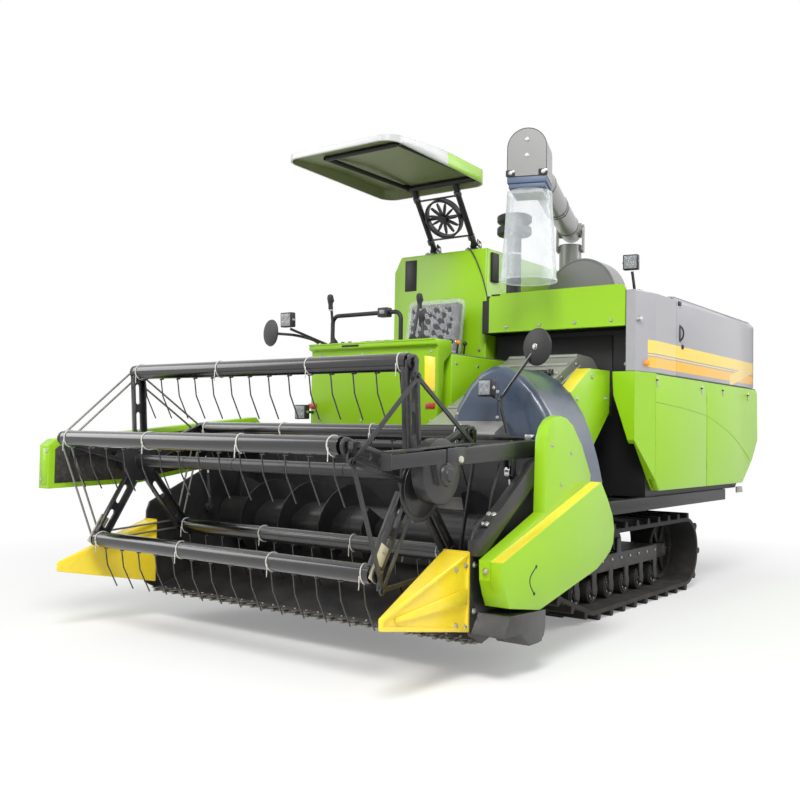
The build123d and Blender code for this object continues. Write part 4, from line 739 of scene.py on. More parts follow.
class HARVESTER_OT_header(bpy.types.Operator):
    """Adds the auger's flights and fingers, the knife and the header's fittings"""
    bl_idname = "harvester.header"
    bl_label = "Header detail"

    def execute(self, context):
        size = context.scene.harvester_sizes
        auger = Piece("auger_flights", "Dark paint")
        for start, end, hand in ((HEADER_RIGHT + 0.1, 0.12, -1), (HEADER_LEFT - 0.105, 0.62, 1)):
            turns = abs(end - start) / size.flight_pitch
            steps = round(turns * 24)
            shape = bmesh.new()
            inner, outer = (shape.verts.new((start, AUGER.y, AUGER.z + radius)) for radius in (AUGER_TUBE, size.flight))
            bmesh.ops.spin(shape, geom=[inner, outer, shape.edges.new((inner, outer))], cent=AUGER, axis=(1, 0, 0),
                           dvec=((end - start) / steps, 0, 0), angle=hand * 2 * pi * turns, steps=steps,
                           use_merge=False, use_duplicate=False)
            bmesh.ops.solidify(shape, geom=shape.faces[:], thickness=0.005)
            auger.take(shape)
        for k in range(10):
            way = Vector((0, cos(k * 2.2), sin(k * 2.2)))
            foot = AUGER + LEFT * (0.16 + k * 0.046) + way * 0.09
            auger.take(bar(foot, foot + way * (0.1 if way.z < 0.4 else 0.03), 0.008, 0.006, 10, 0.001), "Bare steel")
            auger.take(hoop(foot + way * 0.006, way, 0.022, 0.0082, 0.006, 18), "Zinc")
        for x in (-0.9, -0.5, -0.1, 0.7):
            auger.take(hoop(AUGER + LEFT * x, LEFT, 0.0968, 0.0945, 0.03, 40))
        auger.done("auger", slot="header_silver")

        knife = Piece("knife_sections", "Bare steel")
        for k in range(KNIFE_COUNT):
            x = (HEADER_RIGHT + HEADER_LEFT) / 2 + (k - (KNIFE_COUNT - 1) / 2) * KNIFE_PITCH
            root = Vector((x, -1.893, 0.171))
            knife.take(slab(path(root, (-0.034, 0, 0), (0.034, 0, 0), (0.006, -0.053, 0), (-0.006, -0.053, 0)),
                            UP * 0.003, 0.0006), smooth=False)
            knife.take(bar(*path(root, (0.038, -0.001, -0.011), (0.038, -0.0365, -0.013)), 0.009, 0.003, 10))
            knife.bolts(path(root, (0.038, 0.013, -0.0005)), UP, 0.007)
        knife.done("header", slot="blade_steel")

        trim = Piece("header_fittings", "Dark paint")
        rise = Vector((0, 0.502, 0.333)).normalized()
        above = LEFT.cross(rise)
        splice = Vector((1.04925, -1.835, 0.688)) + above * 0.0005
        trim.take(panel(splice, LEFT * 0.02525, rise * 0.055, above * 0.006, 0.001))
        trim.bolts([splice + LEFT * x + rise * step + above * 0.0055 for step in (-0.035, 0.035)
                    for x in (-0.01325, 0.01275)], above)
        for x, out in ((HEADER_LEFT + 0.0003, LEFT), (HEADER_RIGHT - 0.0003, RIGHT)):
            trim.bolts([(x, y, z) for y, z in ((-1.93, 0.3), (-1.93, 0.5), (-1.6, 0.42), (-1.8, 0.27),
                                               (-1.25, 0.5), (-1.25, 0.8))], out, 0.011)
        for x in (-0.95, -0.6, -0.25, 0.1, 0.45, 0.8):
            trim.take(slab(path((x, -1.0715, 0), (-0.02, 0, 0.34), (0.02, 0, 0.34), (0.012, 0, 1), (-0.012, 0, 1)),
                           REAR * 0.0215, 0.002))
        trim.bolts(product((-0.9, -0.45, 0.0, 0.75), (-1.112,), (1.02,)), FRONT, size.bolt)
        trim.take(pipe([(x, -1.125, z) for x, z in ((-1.1, 1.052), (-0.4, 1.06), (0.3, 1.058), (1.0, 1.052))],
                       0.009, 8), "Gloss black")
        for x in (-0.8, -0.2, 0.4, 0.86):
            trim.take(box((x - 0.02, -1.14, 1.04), (x + 0.02, -1.108, 1.068)), "Zinc")
        trim.take(box((0.62, -1.13, 1.046), (0.8, -1.075, 1.06)), "Pale bracket")
        trim.take(side_slab(((-1.7, 0.14), (-1.6, 0.14), (-1.585, 0.16), (-1.7, 0.152)), 1.05, 1.195, 0.002),
                  "Chassis paint")
        trim.done("header", slot="grey_black")

        arms = Piece("arm_fittings", "Dark paint")
        for x, out in ((1.0155, LEFT), (-1.1085, RIGHT)):
            hub = REEL + LEFT * x
            arms.take(side_slab(((-2.506, 0.985), (-1.9, 1.02), (-1.9, 1.026), (-2.506, 0.991)), x - out.x * 0.05,
                                x, 0.001))
            ends = sorted((x, x - out.x * 0.0505))
            arms.take(box((ends[0], -2.512, 0.915), (ends[1], -2.5, 0.982)), "Black plastic")
            arms.take(turned(hub, out, ((0, 0.02), (0.024, 0.02), (0.03, 0.012), (0.046, 0.01), (0.05, 0.0)), 30))
            arms.bolts([hub + way * 0.039 for way in around(4, pi / 4)], out, 0.007)
            arms.bolts([(x, -2.02, 0.955)], out, 0.016, label="Pale bracket")
            arms.bolts([(x, -1.28, 1.002)], out, 0.014)
            arms.bolts([(x, -1.18, 1.0)], out, 0.02)
            arms.take(side_slab(((-2.12, 0.925), (-1.98, 0.935), (-1.98, 1.01), (-2.12, 1.003)), x - out.x * 0.0004,
                                x + out.x * 0.004, 0.001))
        arms.take(turned(REEL + Vector((0.9345, 0, 0.015)), RIGHT, (
            (0.05, 0.0), (0.128, 0.0), (0.132, 0.004), (0.14, 0.004), (0.1405, -0.006)), 48))
        arms.take(pipe([(0.99, -1.64, 0.93), (0.985, -1.66, 0.86), (0.98, -1.7, 0.78), (0.975, -1.7, 0.7)],
                       0.008, 8), "Black plastic")
        arms.take(box((-1.06, -1.31, 0.985), (-0.98, -1.27, 1.036), 0.004), "Pale bracket")
        arms.done("reel_arms", slot="grey_black")
        return {"FINISHED"}


class HARVESTER_OT_guards(bpy.types.Operator):
    """Makes the dividers' shells, and adds the shield's handle and the guards' bolts"""
    bl_idname = "harvester.guards"
    bl_label = "Guards and dividers"

    def execute(self, context):
        dividers = Piece("divider_shells", "Divider paint")
        rear = -1.9605
        for inner, outer, tip_inner, tip_outer, tip_y, out in ((0.9, 1.04, 1.034, 1.05, -2.598, 1),
                                                              (-1.024, -1.13, -1.124, -1.14, -2.518, -1)):
            shape = bmesh.new()
            ring_rear, ring_tip = ([shape.verts.new(c) for c in ((a, y, low), (b, y, low), (b, y, high), (a, y, high))]
                                   for a, b, y, low, high in ((inner, outer, rear, 0.214, 0.559),
                                                              (tip_inner, tip_outer, tip_y, 0.316, 0.364)))
            shape.faces.new(ring_tip)
            shape.faces.new(ring_rear)
            for k in range(4):
                j = (k + 1) % 4
                shape.faces.new((ring_rear[k], ring_rear[j], ring_tip[j], ring_tip[k]))
            bmesh.ops.recalc_face_normals(shape, faces=shape.faces)
            soften(shape, 0.006, 3)
            flank = max((f for f in shape.faces), key=lambda f: f.normal.x * out * f.calc_area())
            for thickness, depth in ((0.016, 0.0), (0.003, -0.01)):
                bmesh.ops.inset_region(shape, faces=[flank], thickness=thickness, depth=depth)
            dividers.take(shape)
            slope = (tip_outer - outer) / (tip_y - rear)

            def on_flank(*points):
                return [(outer - out * 0.0095 + slope * (y - rear), y, z) for y, z in points]

            dividers.take(slab(on_flank((-1.985, 0.335), (-2.5, 0.335), (-2.5, 0.352), (-1.985, 0.405)),
                               (out * 0.012, 0, 0)))
            dividers.bolts(on_flank((-1.985, 0.5), (-2.06, 0.49), (-1.985, 0.24), (-2.06, 0.255)), (out, 0, 0))
            low, high = sorted((inner, outer))
            dividers.take(box((low + 0.006, rear - 0.012, 0.556), (high - 0.006, rear, 0.5595), 0.001))
        dividers.done("header", "dividers", slot="yellow_paint")

        shield = Piece("shield_trim", "Black plastic")
        shield.take(pipe([(1.1955, y, z) for y, z in ((-1.659, 0.479), (-1.702, 0.453), (-1.721, 0.424),
                                                      (-1.706, 0.389), (-1.675, 0.361))], 0.0026, 8))
        shield.bolts(((1.1948, -1.659, 0.479), (1.1948, -1.675, 0.361)), LEFT, 0.006, 0.004, "Black plastic")
        shield.bolts([(1.11, -1.9528, 0.48)], FRONT, 0.01)
        shield.bolts([(1.1348, y, z) for y, z in ((-1.4, 1.02), (-1.2, 0.98), (-1.3, 0.83))], LEFT, 0.008, 0.005)
        shield.done("header", slot="green_paint")

        drive = Piece("drive_guard_trim", "Zinc")
        drive.bolts([(0.78, y, z) for y, z in ((-0.43, 1.06), (-0.42, 1.28), (-0.22, 1.42), (-0.02, 1.3))], LEFT)
        drive.done("header", slot="green_paint")

        right = Piece("reel_guard_trim", "Lime paint")
        right.take(box((-1.205, -2.5835, 0.765), (-1.15, -2.5815, 0.955), 0.0005))
        # A thin dark sheet on the guard's open inner face is painted shade: it stands in for the shade inside the open
        # guard.
        right.take(side_slab(((-2.545, 0.772), (-2.545, 0.948), (-2.52, 0.968), (-1.105, 1.12), (-1.075, 1.092),
                              (-1.075, 0.925), (-1.995, 0.787)), -1.1379, -1.1367, 0.0004), "Dark grille")
        right.bolts(((-1.2, -2.5818, 0.79), (-1.155, -2.5818, 0.94)), FRONT, 0.009, 0.005)
        right.take(turned(REEL + RIGHT * 1.137, LEFT, ((0, 0.004), (0.05, 0.004), (0.06, 0.0)), 30), "Dark paint")
        right.done("reel_arms", slot="green_paint")
        return {"FINISHED"}


class HARVESTER_OT_feeder(bpy.types.Operator):
    """Adds the moulded hood, the cross bar and the feeder's ribs"""
    bl_idname = "harvester.feeder"
    bl_label = "Feeder and hood"

    def execute(self, context):
        hood = Piece("hood_shell", "Slate moulding")
        outline = ((0.24, 0.905), (0.24, 1.1), (0.285, 1.225), (0.365, 1.345), (0.44, 1.415), (0.52, 1.448),
                   (0.6, 1.438), (0.7, 1.385), (0.785, 1.305), (0.86, 1.195), (0.915, 1.065), (0.955, 0.935),
                   (0.984, 0.808))
        shape = bmesh.new()
        front = [shape.verts.new((x, -0.945, z)) for x, z in outline]
        edges = [shape.edges.new(pair) for pair in zip(front, front[1:])]
        swept = bmesh.ops.extrude_edge_only(shape, edges=edges)["geom"]
        bmesh.ops.translate(shape, vec=(0, 0.44, 0), verts=[g for g in swept if isinstance(g, bmesh.types.BMVert)])
        face = shape.faces.new(front + [shape.verts.new((x, -0.945, z)) for x, z in ((0.9, 0.808), (0.7, 0.902))])
        bmesh.ops.recalc_face_normals(shape, faces=shape.faces)
        round_off(shape, [e for e in shape.edges if len(e.link_faces) == 2 and face in e.link_faces], 0.045, 6)
        bmesh.ops.recalc_face_normals(shape, faces=shape.faces)
        bmesh.ops.solidify(shape, geom=shape.faces[:], thickness=0.006)
        hood.take(shape, face_out=False)
        for x in (0.5585, 0.5655):
            hood.take(pipe(path((x, 0, 0), (0, -0.9465, 0.935), (0, -0.9468, 1.15), (0, -0.9462, 1.36),
                                (-0.002, -0.937, 1.415), (-0.004, -0.9, 1.438), (-0.004, -0.6, 1.4385)), 0.0016, 6))
        hood.bolts([(x, -0.9455, z) for x, z in ((0.562, 1.3), (0.562, 1.16), (0.562, 1.02), (0.3, 1.18),
                                                 (0.33, 0.94), (0.86, 1.1), (0.93, 0.88))], FRONT, 0.008, 0.004)
        hood.done("header", "feeder_hood", slot="slate_hood")

        feeder = Piece("feeder_ribs", "Sheet steel")

        def top(y):
            """The height of the feeder's top, which rises to the rear."""
            return 1.413 + (y + 0.375) * 0.159 / 0.33

        for y in (-0.07, -0.2, -0.33, -0.46, -0.6, -0.78):
            feeder.take(panel(Vector((0.37, y, top(y) + 0.002)), LEFT * 0.242, Vector((0, 0.012, 0.006)),
                              (0, -0.0045, 0.0092), 0.002))
        feeder.take(bar((0.145, -0.375, 1.445), (0.6, -0.375, 1.445), 0.013, sides=16), "Gloss black")
        for x in (0.17, 0.585):
            feeder.take(box((x - 0.012, -0.395, 1.408), (x + 0.012, -0.355, 1.462)), "Gloss black")
        for x, out in ((0.1195, RIGHT), (0.6205, LEFT)):
            for y0, z0, y1, z1 in ((-0.98, 1.03, -0.05, 1.5), (-0.9, 0.75, 0.02, 1.22), (-0.55, 0.98, -0.38, 1.35),
                                   (-0.25, 1.12, -0.12, 1.46)):
                feeder.take(bar((x, y0, z0), (x, y1, z1), 0.008, sides=8))
            feeder.bolts([(x, y, top(y) - 0.035) for y in (-0.9, -0.7, -0.5, -0.3, -0.1)], out)
        feeder.take(box((0.2, -0.66, top(-0.66) - 0.02), (0.54, -0.63, top(-0.63) + 0.014)), "Dark grille")
        feeder.done("header", slot="header_silver")
        return {"FINISHED"}


class HARVESTER_OT_body(bpy.types.Operator):
    """Adds latches, handles, folds and seams to the covers"""
    bl_idname = "harvester.body"
    bl_label = "Cover trim"

    def execute(self, context):
        size = context.scene.harvester_sizes
        lid = Piece("lid_trim", "Grey paint")
        lid.take(box((SIDE - 0.002, 0.68, 1.7), (SIDE + 0.004, 0.714, 1.815), 0.004), "Dark paint")
        lid.take(pipe(path((SIDE, 0.697, 0), (0.003, 0, 1.805), (0.024, 0, 1.79), (0.024, 0, 1.725),
                           (0.003, 0, 1.71)), 0.006, 8), "Black plastic")
        lid.take(turned((SIDE, 0.736, 1.671), LEFT, ((0, 0.012), (0.01, 0.012), (0.014, 0.008), (0.017, -0.002)),
                        20), "Black plastic")
        lid.take(box((SIDE - 0.002, 0.655, 1.94), (SIDE + 0.01, 0.7, 1.968), 0.004), "Black plastic")
        for y in (0.9, 1.3, 1.7, 2.1):
            lid.take(box((0.5, y, LID_TOP), (0.93, y + 0.035, LID_TOP + 0.006)))
        lid.take(bar((0.945, 0.66, 2.0), (0.945, 2.33, 2.0), 0.003, sides=8))
        lid.take(pipe([(SIDE + 0.001, 2.33, z) for z in (1.48, 1.72, 1.955)], 0.002, 6))
        lid.done("lid", slot="grey_cover")

        corner = Piece("corner_trim", "Zinc")
        for place, profile, label in (
                ((0.962, 0.167, 1.524), ((0, 0.018), (0.012, 0.018), (0.018, 0.01), (0.02, -0.004)), "Orange knob"),
                ((0.943, 0.088, 1.79), ((0, 0.024), (0.014, 0.022), (0.018, 0.01), (0.022, -0.004)), "Zinc")):
            corner.take(turned(place, (0.98, -0.2, 0), profile, 20), label)
        corner.bolts(product((0.03, 0.28, 0.53, 0.78), (0.0502,), (1.787,)), FRONT, size.bolt * 0.8, 0.006)
        corner.take(box((-0.104, 0.0445, 1.7505), (0.87, 0.0505, 1.762), 0.002), "Lime paint")
        corner.take(box((-0.085, 0.0465, 2.0), (-0.02, 0.052, 2.01), 0.001), "Dark grille")
        corner.bolts([(x, 0.2595, z) for x, z in ((0.8, 1.66), (0.82, 1.6), (0.79, 1.53), (0.815, 1.7))], FRONT,
                     0.01)
        corner.take(box((0.13, 0.252, 1.2), (0.7, 0.2597, 1.72)), "Dark grille")
        corner.done("machine", slot="grey_cover")

        for body, latches, low, high in (("door_front", ((0.305, 1.415), (1.134, 1.403)), 0.29, 1.236),
                                         ("door_rear", ((1.591, 1.41), (2.205, 1.399)), 1.256, 2.39)):
            door = Piece(body + "_trim", "Black plastic")
            for y, z in latches:
                door.take(box((SIDE - 0.001, y - 0.01, z - 0.03), (SIDE + 0.005, y + 0.01, z + 0.03)), "Zinc")
                door.take(box((SIDE, y - 0.022, z + 0.006), (SIDE + 0.009, y - 0.002, z + 0.016), 0.002))
            door.take(bar((SIDE - 0.001, low, 1.4655), (SIDE - 0.001, high, 1.4655), 0.003, sides=8))
            door.done(body, slot="green_paint")
        for name, body, arc in (
                ("door_creases", "door_rear", ((1.262, 1.225), (1.55, 1.165), (1.85, 1.085), (2.1, 0.985),
                                               (2.27, 0.9))),
                ("door_crease_front", "door_front", ((0.285, 1.29), (0.6, 1.275), (0.95, 1.255), (1.234, 1.228)))):
            crease = Piece(name, "Lime paint")
            crease.take(pipe([(SIDE - 0.0005, y, z) for y, z in arc], 0.0035, 8))
            crease.done(body, slot="green_paint")

        rear = Piece("rear_trim", "Zinc")
        rear.take(box((-0.13, 2.36, 1.5), (0.86, 2.372, 1.93), 0.004), "Lime paint")
        rear.bolts(product((-0.08, 0.2, 0.5, 0.8), (2.372,), (1.53, 1.9)), REAR, size.bolt)
        for x in (-0.05, 0.8):
            rear.take(box((x - 0.03, 2.605, 0.9), (x + 0.03, 2.6195, 0.98), 0.004), "Red reflector")
        for k in range(9):
            z = 0.86 + k * 0.037
            rear.take(box((0.02, 2.6165, z), (0.73, 2.6198, z + 0.012), 0.001), "Dark grille")
        rear.take(side_slab(((1.98, 0.7), (2.1, 0.7), (2.12, 0.655), (1.98, 0.655)), 0.955, 0.9685, 0.002),
                  "Silver paint")
        rear.done("machine", slot="dark_frame")
        return {"FINISHED"}


class HARVESTER_OT_tank(bpy.types.Operator):
    """Adds the grain tank's window, ribs and cable, and the engine's screen"""
    bl_idname = "harvester.tank"
    bl_label = "Tank detail"

    def execute(self, context):
        tank = Piece("tank_trim", "Lime paint")
        tank.take(box((-0.886, 0.1465, 2.102), (-0.784, 0.1535, 2.328), 0.003, 3), "Dark grille")
        tank.take(box((-0.874, 0.1455, 2.116), (-0.796, 0.1475, 2.314), 0.0006), "Chassis paint")
        tank.bolts(product((-0.6, -0.42, -0.24), (0.1498,), (1.25, 1.65)), FRONT)
        tank.take(box((-0.1893, 0.2, 2.13), (-0.172, 0.29, 2.335), 0.004), "Dark grille")
        tank.take(box((-0.188, 0.16, 1.9), (-0.13, 0.235, 2.02), 0.005), "Black plastic")
        tank.take(pipe([(-0.338, 0.14, 2.372), (-0.3, 0.136, 2.345), (-0.24, 0.139, 2.22), (-0.196, 0.14, 2.1),
                        (-0.176, 0.148, 2.0)], 0.004, 6), "Black plastic")
        for y in (0.45, 0.8, 1.15, 1.5):
            tank.take(box((-0.987, y - 0.012, 0.76), (-0.9845, y + 0.012, 2.2), 0.001))
        tank.bolts(product((-0.985,), (0.2, 0.6, 1.0, 1.4, 1.62), (0.8, 2.16)), RIGHT, 0.01, 0.006)
        tank.take(box((-0.9868, 0.9, 1.2), (-0.9845, 1.1, 1.9), 0.001), "Silver paint")
        tank.bolts(product((-0.9, -0.55, -0.25), (1.6502,), (0.8, 1.55, 2.25)), REAR, 0.01)
        tank.take(box((-0.8, 1.6495, 0.95), (-0.4, 1.657, 1.35), 0.004))
        tank.take(box((-0.65, 1.655, 1.12), (-0.55, 1.675, 1.16), 0.006), "Black plastic")
        tank.take(box((-0.9, 1.65, 1.7), (-0.84, 1.664, 1.78), 0.004), "Red reflector")
        for y in (0.42, 0.7, 0.98, 1.26):
            tank.take(box((-0.88, y, TANK_TOP), (-0.26, y + 0.03, TANK_TOP + 0.006)))
        tank.done("machine", slot="green_paint")
        grille = Piece("engine_screen", "Dark grille")
        grille.take(box((-0.9, -0.455, 0.74), (-0.884, 0.105, 1.02), 0.004), "Lime paint")
        for k in range(14):
            y = -0.43 + k * 0.039
            grille.take(box((-0.904, y, 0.765), (-0.899, y + 0.02, 0.995), 0.001))
        for k in range(7):
            z = 0.72 + k * 0.045
            grille.take(box((-0.8, -0.458, z), (-0.36, -0.449, z + 0.018), 0.002), "Cast iron")
        grille.take(bar((-0.6, -0.449, 0.87), (-0.6, -0.475, 0.87), 0.085, sides=36, edge=0.004), "Cast iron")
        grille.done("machine", slot="gearbox_iron")
        return {"FINISHED"}


class HARVESTER_OT_station(bpy.types.Operator):
    """Adds the consoles' fittings, the floor's tread and the levers' grips"""
    bl_idname = "harvester.station"
    bl_label = "Operator's station"

    def execute(self, context):
        console = Piece("console_trim", "Lime paint")
        console.take(box((-0.7, -0.7815, 1.608), (-0.56, -0.776, 1.622), 0.002), "Dark grille")
        console.take(box((-0.98, -0.783, 1.626), (0.026, -0.777, 1.637), 0.002))
        for x in (-0.965, -0.02):
            console.take(box((x - 0.035, -0.756, 1.215), (x + 0.035, -0.7495, 1.25)), "Red reflector")
        console.bolts(product((-0.9, -0.55, -0.2, -0.02), (-0.7505,), (1.14, 1.56)), FRONT, 0.007, 0.004)
        console.take(box((-0.62, -0.69, 1.6365), (-0.34, -0.615, 1.6505), 0.004), "Black plastic")
        for x in (-0.575, -0.5, -0.425):
            console.take(turned((x, -0.652, 1.65), UP, ((0, 0.004), (0.024, 0.004), (0.027, 0.0)), 26),
                         "Silver paint")
        for x in (-0.8, -0.74):
            console.take(turned((x, -0.65, 1.6365), UP, ((0, 0.024), (0.012, 0.022), (0.016, 0.0)), 18),
                         "Black plastic")
        console.take(box((-0.145, -0.58, 1.556), (0.025, 0.12, 1.562), 0.002), "Silver paint")
        for y in (-0.52, -0.44, -0.36):
            console.take(box((-0.07, y - 0.006, 1.561), (0.005, y + 0.006, 1.566), 0.002), "Dark grille")
        console.bolts(product((0.0302,), (-0.55, -0.3, -0.05), (1.15, 1.5)), LEFT, 0.008, 0.005)
        console.take(box((-0.52, -0.648, 1.808), (-0.44, -0.592, 1.868), 0.006), "Black plastic")
        console.take(box((-0.5, -0.652, 1.826), (-0.46, -0.646, 1.852), 0.002), "Silver paint")
        for k, j in product(range(13), range(6)):
            x, y = -0.93 + k * 0.075, -0.66 + j * 0.055
            console.take(box((x, y, 1.098), (x + 0.035, y + 0.008, 1.1015), 0.001), "Dark paint")
        for x in (-0.57, -0.25):
            console.take(panel(Vector((x, -0.6275, 1.1925)), LEFT * 0.05, Vector((0, 0.0275, 0.0325)),
                               (0, -0.006, 0.006)), "Black plastic")
        console.done("machine", slot="green_paint")

        levers = Piece("lever_grips", "Black plastic")
        for grip in ((-0.877, -0.69, 1.935), (-0.253, -0.55, 1.915), (-0.2, -0.6, 1.79)):
            levers.take(turned(Vector(grip) - UP * 0.06, (0, -0.08, 1), (
                (0.01, 0.0), (0.016, 0.004), (0.015, 0.03), (0.019, 0.055), (0.022, 0.075), (0.017, 0.095),
                (0, 0.102)), 20))
            levers.take(turned(Vector(grip) - UP * 0.07, (0, -0.08, 1), (
                (0.009, 0.0), (0.013, 0.0), (0.013, 0.01), (0.009, 0.01)), 16), "Zinc")
        for foot in ((-0.877, -0.65, 1.637), (-0.253, -0.62, 1.637), (-0.173, -0.625, 1.637)):
            levers.take(turned(foot, UP, ((0.04, 0.0), (0.038, 0.012), (0.026, 0.022), (0.022, 0.034),
                                          (0.012, 0.042), (0.0095, 0.05)), 24))
        for y, label in ((-0.53, None), (-0.45, "Orange knob"), (-0.37, None)):
            knob = bmesh.new()
            bmesh.ops.create_uvsphere(knob, u_segments=16, v_segments=10, radius=0.0155)
            bmesh.ops.translate(knob, vec=(-0.025, y, 1.64), verts=knob.verts)
            levers.take(knob, label)
        levers.done("machine", slot="black_plastic")
        return {"FINISHED"}


def inflate(thing, cap):
    """Swells a closed shape as cloth under pressure, and caps how far it moves."""
    rest = [v.co.copy() for v in thing.data.vertices]
    cloth = thing.modifiers.new("Swell", "CLOTH")
    settings = cloth.settings
    settings.use_pressure, settings.uniform_pressure_force, settings.quality = True, 4.0, 4
    settings.effector_weights.gravity = 0.0
    settings.tension_stiffness = settings.compression_stiffness = 18
    cloth.collision_settings.use_self_collision = False
    scene = bpy.context.scene
    for number in range(1, 21):
        scene.frame_set(number)
    swollen = thing.evaluated_get(bpy.context.evaluated_depsgraph_get())
    moved = [v.co.copy() for v in swollen.data.vertices]
    thing.modifiers.remove(cloth)
    scene.frame_set(1)
    for vertex, old, new in zip(thing.data.vertices, rest, moved):
        step = new - old
        vertex.co = old + step * min(1.0, cap / max(step.length, 1e-9))


class HARVESTER_OT_seat(bpy.types.Operator):
    """Makes the seat's cushion and back as padded vinyl, under a clear film"""
    bl_idname = "harvester.seat"
    bl_label = "Seat"

    def execute(self, context):
        for name, node, low, high, tilt in (
                ("seat_pad", "seat_cushion", (-0.72, -0.52, 1.51), (-0.27, -0.122, 1.594), 0.0),
                ("seat_rest", "seat_back", (-0.71, -0.098, 1.56), (-0.28, -0.032, 1.985), SEAT_TILT)):
            shape = box(low, high, 0.03, 5)
            bmesh.ops.subdivide_edges(shape, edges=[e for e in shape.edges if e.calc_length() > 0.08], cuts=5,
                                      use_grid_fill=True)
            thing = place_object(name, as_mesh(name, tilted(shape, tilt)))
            even = thing.modifiers.new("Even", "REMESH")
            even.voxel_size, even.mode = 0.006, "VOXEL"
            mesh = bpy.data.meshes.new_from_object(thing.evaluated_get(context.evaluated_depsgraph_get()))
            thing.modifiers.clear()
            thing.data = mesh
            mesh.name = name
            inflate(thing, 0.01)
            channels = bmesh.new()
            channels.from_mesh(mesh)
            for vertex in channels.verts:
                pull = sum(max(0.0, 1 - abs(vertex.co.x - x) / 0.01) for x in CHANNELS)
                if -0.69 < vertex.co.x < -0.3:
                    vertex.co -= vertex.normal * 0.004 * pull
            bmesh.ops.smooth_vert(channels, verts=channels.verts, factor=0.4, use_axis_x=True, use_axis_y=True,
                                  use_axis_z=True)
            for face in channels.faces:
                face.smooth = True
            channels.to_mesh(mesh)
            channels.free()
            mesh.materials.clear()
            mesh.materials.append(FINISHES["Seat vinyl"])
            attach(thing, "machine")
            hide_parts(node)

        film = Piece("seat_film", "Seat film")
        shape = box((-0.729, -0.512, 1.6), (-0.265, -0.1, 1.628), 0.012, 3)
        merge(shape, tilted(box((-0.722, -0.108, 1.605), (-0.268, -0.022, 2.002), 0.038, 5), SEAT_TILT))
        bmesh.ops.subdivide_edges(shape, edges=[e for e in shape.edges if e.calc_length() > 0.05], cuts=15,
                                  use_grid_fill=True)
        for vertex in shape.verts:
            x, y, z = vertex.co
            vertex.co += vertex.normal * 0.004 * sin(x * 61 + z * 37) * sin(y * 53 + z * 71)
        film.take(shape)
        film.done("machine", slot="clear_sleeve")
        return {"FINISHED"}


class HARVESTER_OT_canopy(bpy.types.Operator):
    """Makes the canopy's white shell with its lining, and the fan's guard"""
    bl_idname = "harvester.canopy"
    bl_label = "Canopy"

    def execute(self, context):
        canopy = rounded_copy("canopy", 0.004, "Canopy white")
        for label in ("Canopy lining", "Canopy side"):
            canopy.data.materials.append(FINISHES[label])
        middle = Vector((-0.52, -0.5475, 2.8))
        for face in canopy.data.polygons:
            normal, out = face.normal, Vector((*(face.center - middle).xy, 0)).normalized()
            if normal.z < -0.5 and face.center.z > 2.79 or abs(normal.z) < 0.5 and normal.dot(out) < -0.1:
                face.material_index = 1
            elif normal.x > 0.3 and normal.z < 0.6:
                face.material_index = 2
        trim = Piece("canopy_trim", "Gloss black")
        for x in (-0.72, -0.15):
            trim.bolts(((x, -0.91, 2.8261), (x, -0.08, 2.83122)), UP, 0.009, 0.004)
            trim.take(hoop((x, -0.05, 2.796), REAR, 0.0215, 0.0125, 0.03, 24, 0.001))
            trim.take(hoop((x, -0.94, 2.796), REAR, 0.016, 0.0125, 0.03, 24, 0.001))
        trim.done("machine", slot="dark_frame")

        fan = Piece("fan_guard", "Gloss black")
        centre, axis, up = Vector((-0.5125, 0.0917, 2.59)), Vector((0, -0.8238, -0.5668)), Vector((0, -0.5668, 0.8238))
        for shift in (-0.021, 0.021):
            fan.take(hoop(centre + axis * shift, axis, 0.143, 0.13, 0.006, 48), "Black plastic")
        fan.take(turned(centre + axis * 0.02, axis, ((0, 0.008), (0.03, 0.006), (0.034, 0.0)), 24), "Black plastic")
        for height in (-0.15, 0.15):
            fan.take(bar(*(centre + up * height + LEFT * x for x in (-0.155, 0.155)), 0.0075, sides=12))
        for x in (-0.685, -0.34):
            for z, y in ((2.725, 0.0), (2.455, 0.185)):
                fan.take(hoop((x, y, z), (0, 0.567, -0.824), 0.0262, 0.0202, 0.035, 24, 0.001))
            fan.take(box((x - 0.052, 0.186, 2.3625), (x + 0.052, 0.296, 2.378), 0.004))
            for low in (x - 0.03, x + 0.022):
                fan.take(side_slab(((0.215, 2.37), (0.285, 2.37), (0.272, 2.43), (0.225, 2.445)), low, low + 0.008,
                                   0.002))
            fan.take(bar((x - 0.042, 0.238, 2.405), (x + 0.042, 0.238, 2.405), 0.01, sides=12), "Zinc")
            fan.bolts(((x - 0.04, 0.205, 2.378), (x + 0.04, 0.205, 2.378)), UP)
        fan.done("machine", slot="black_plastic")
        return {"FINISHED"}


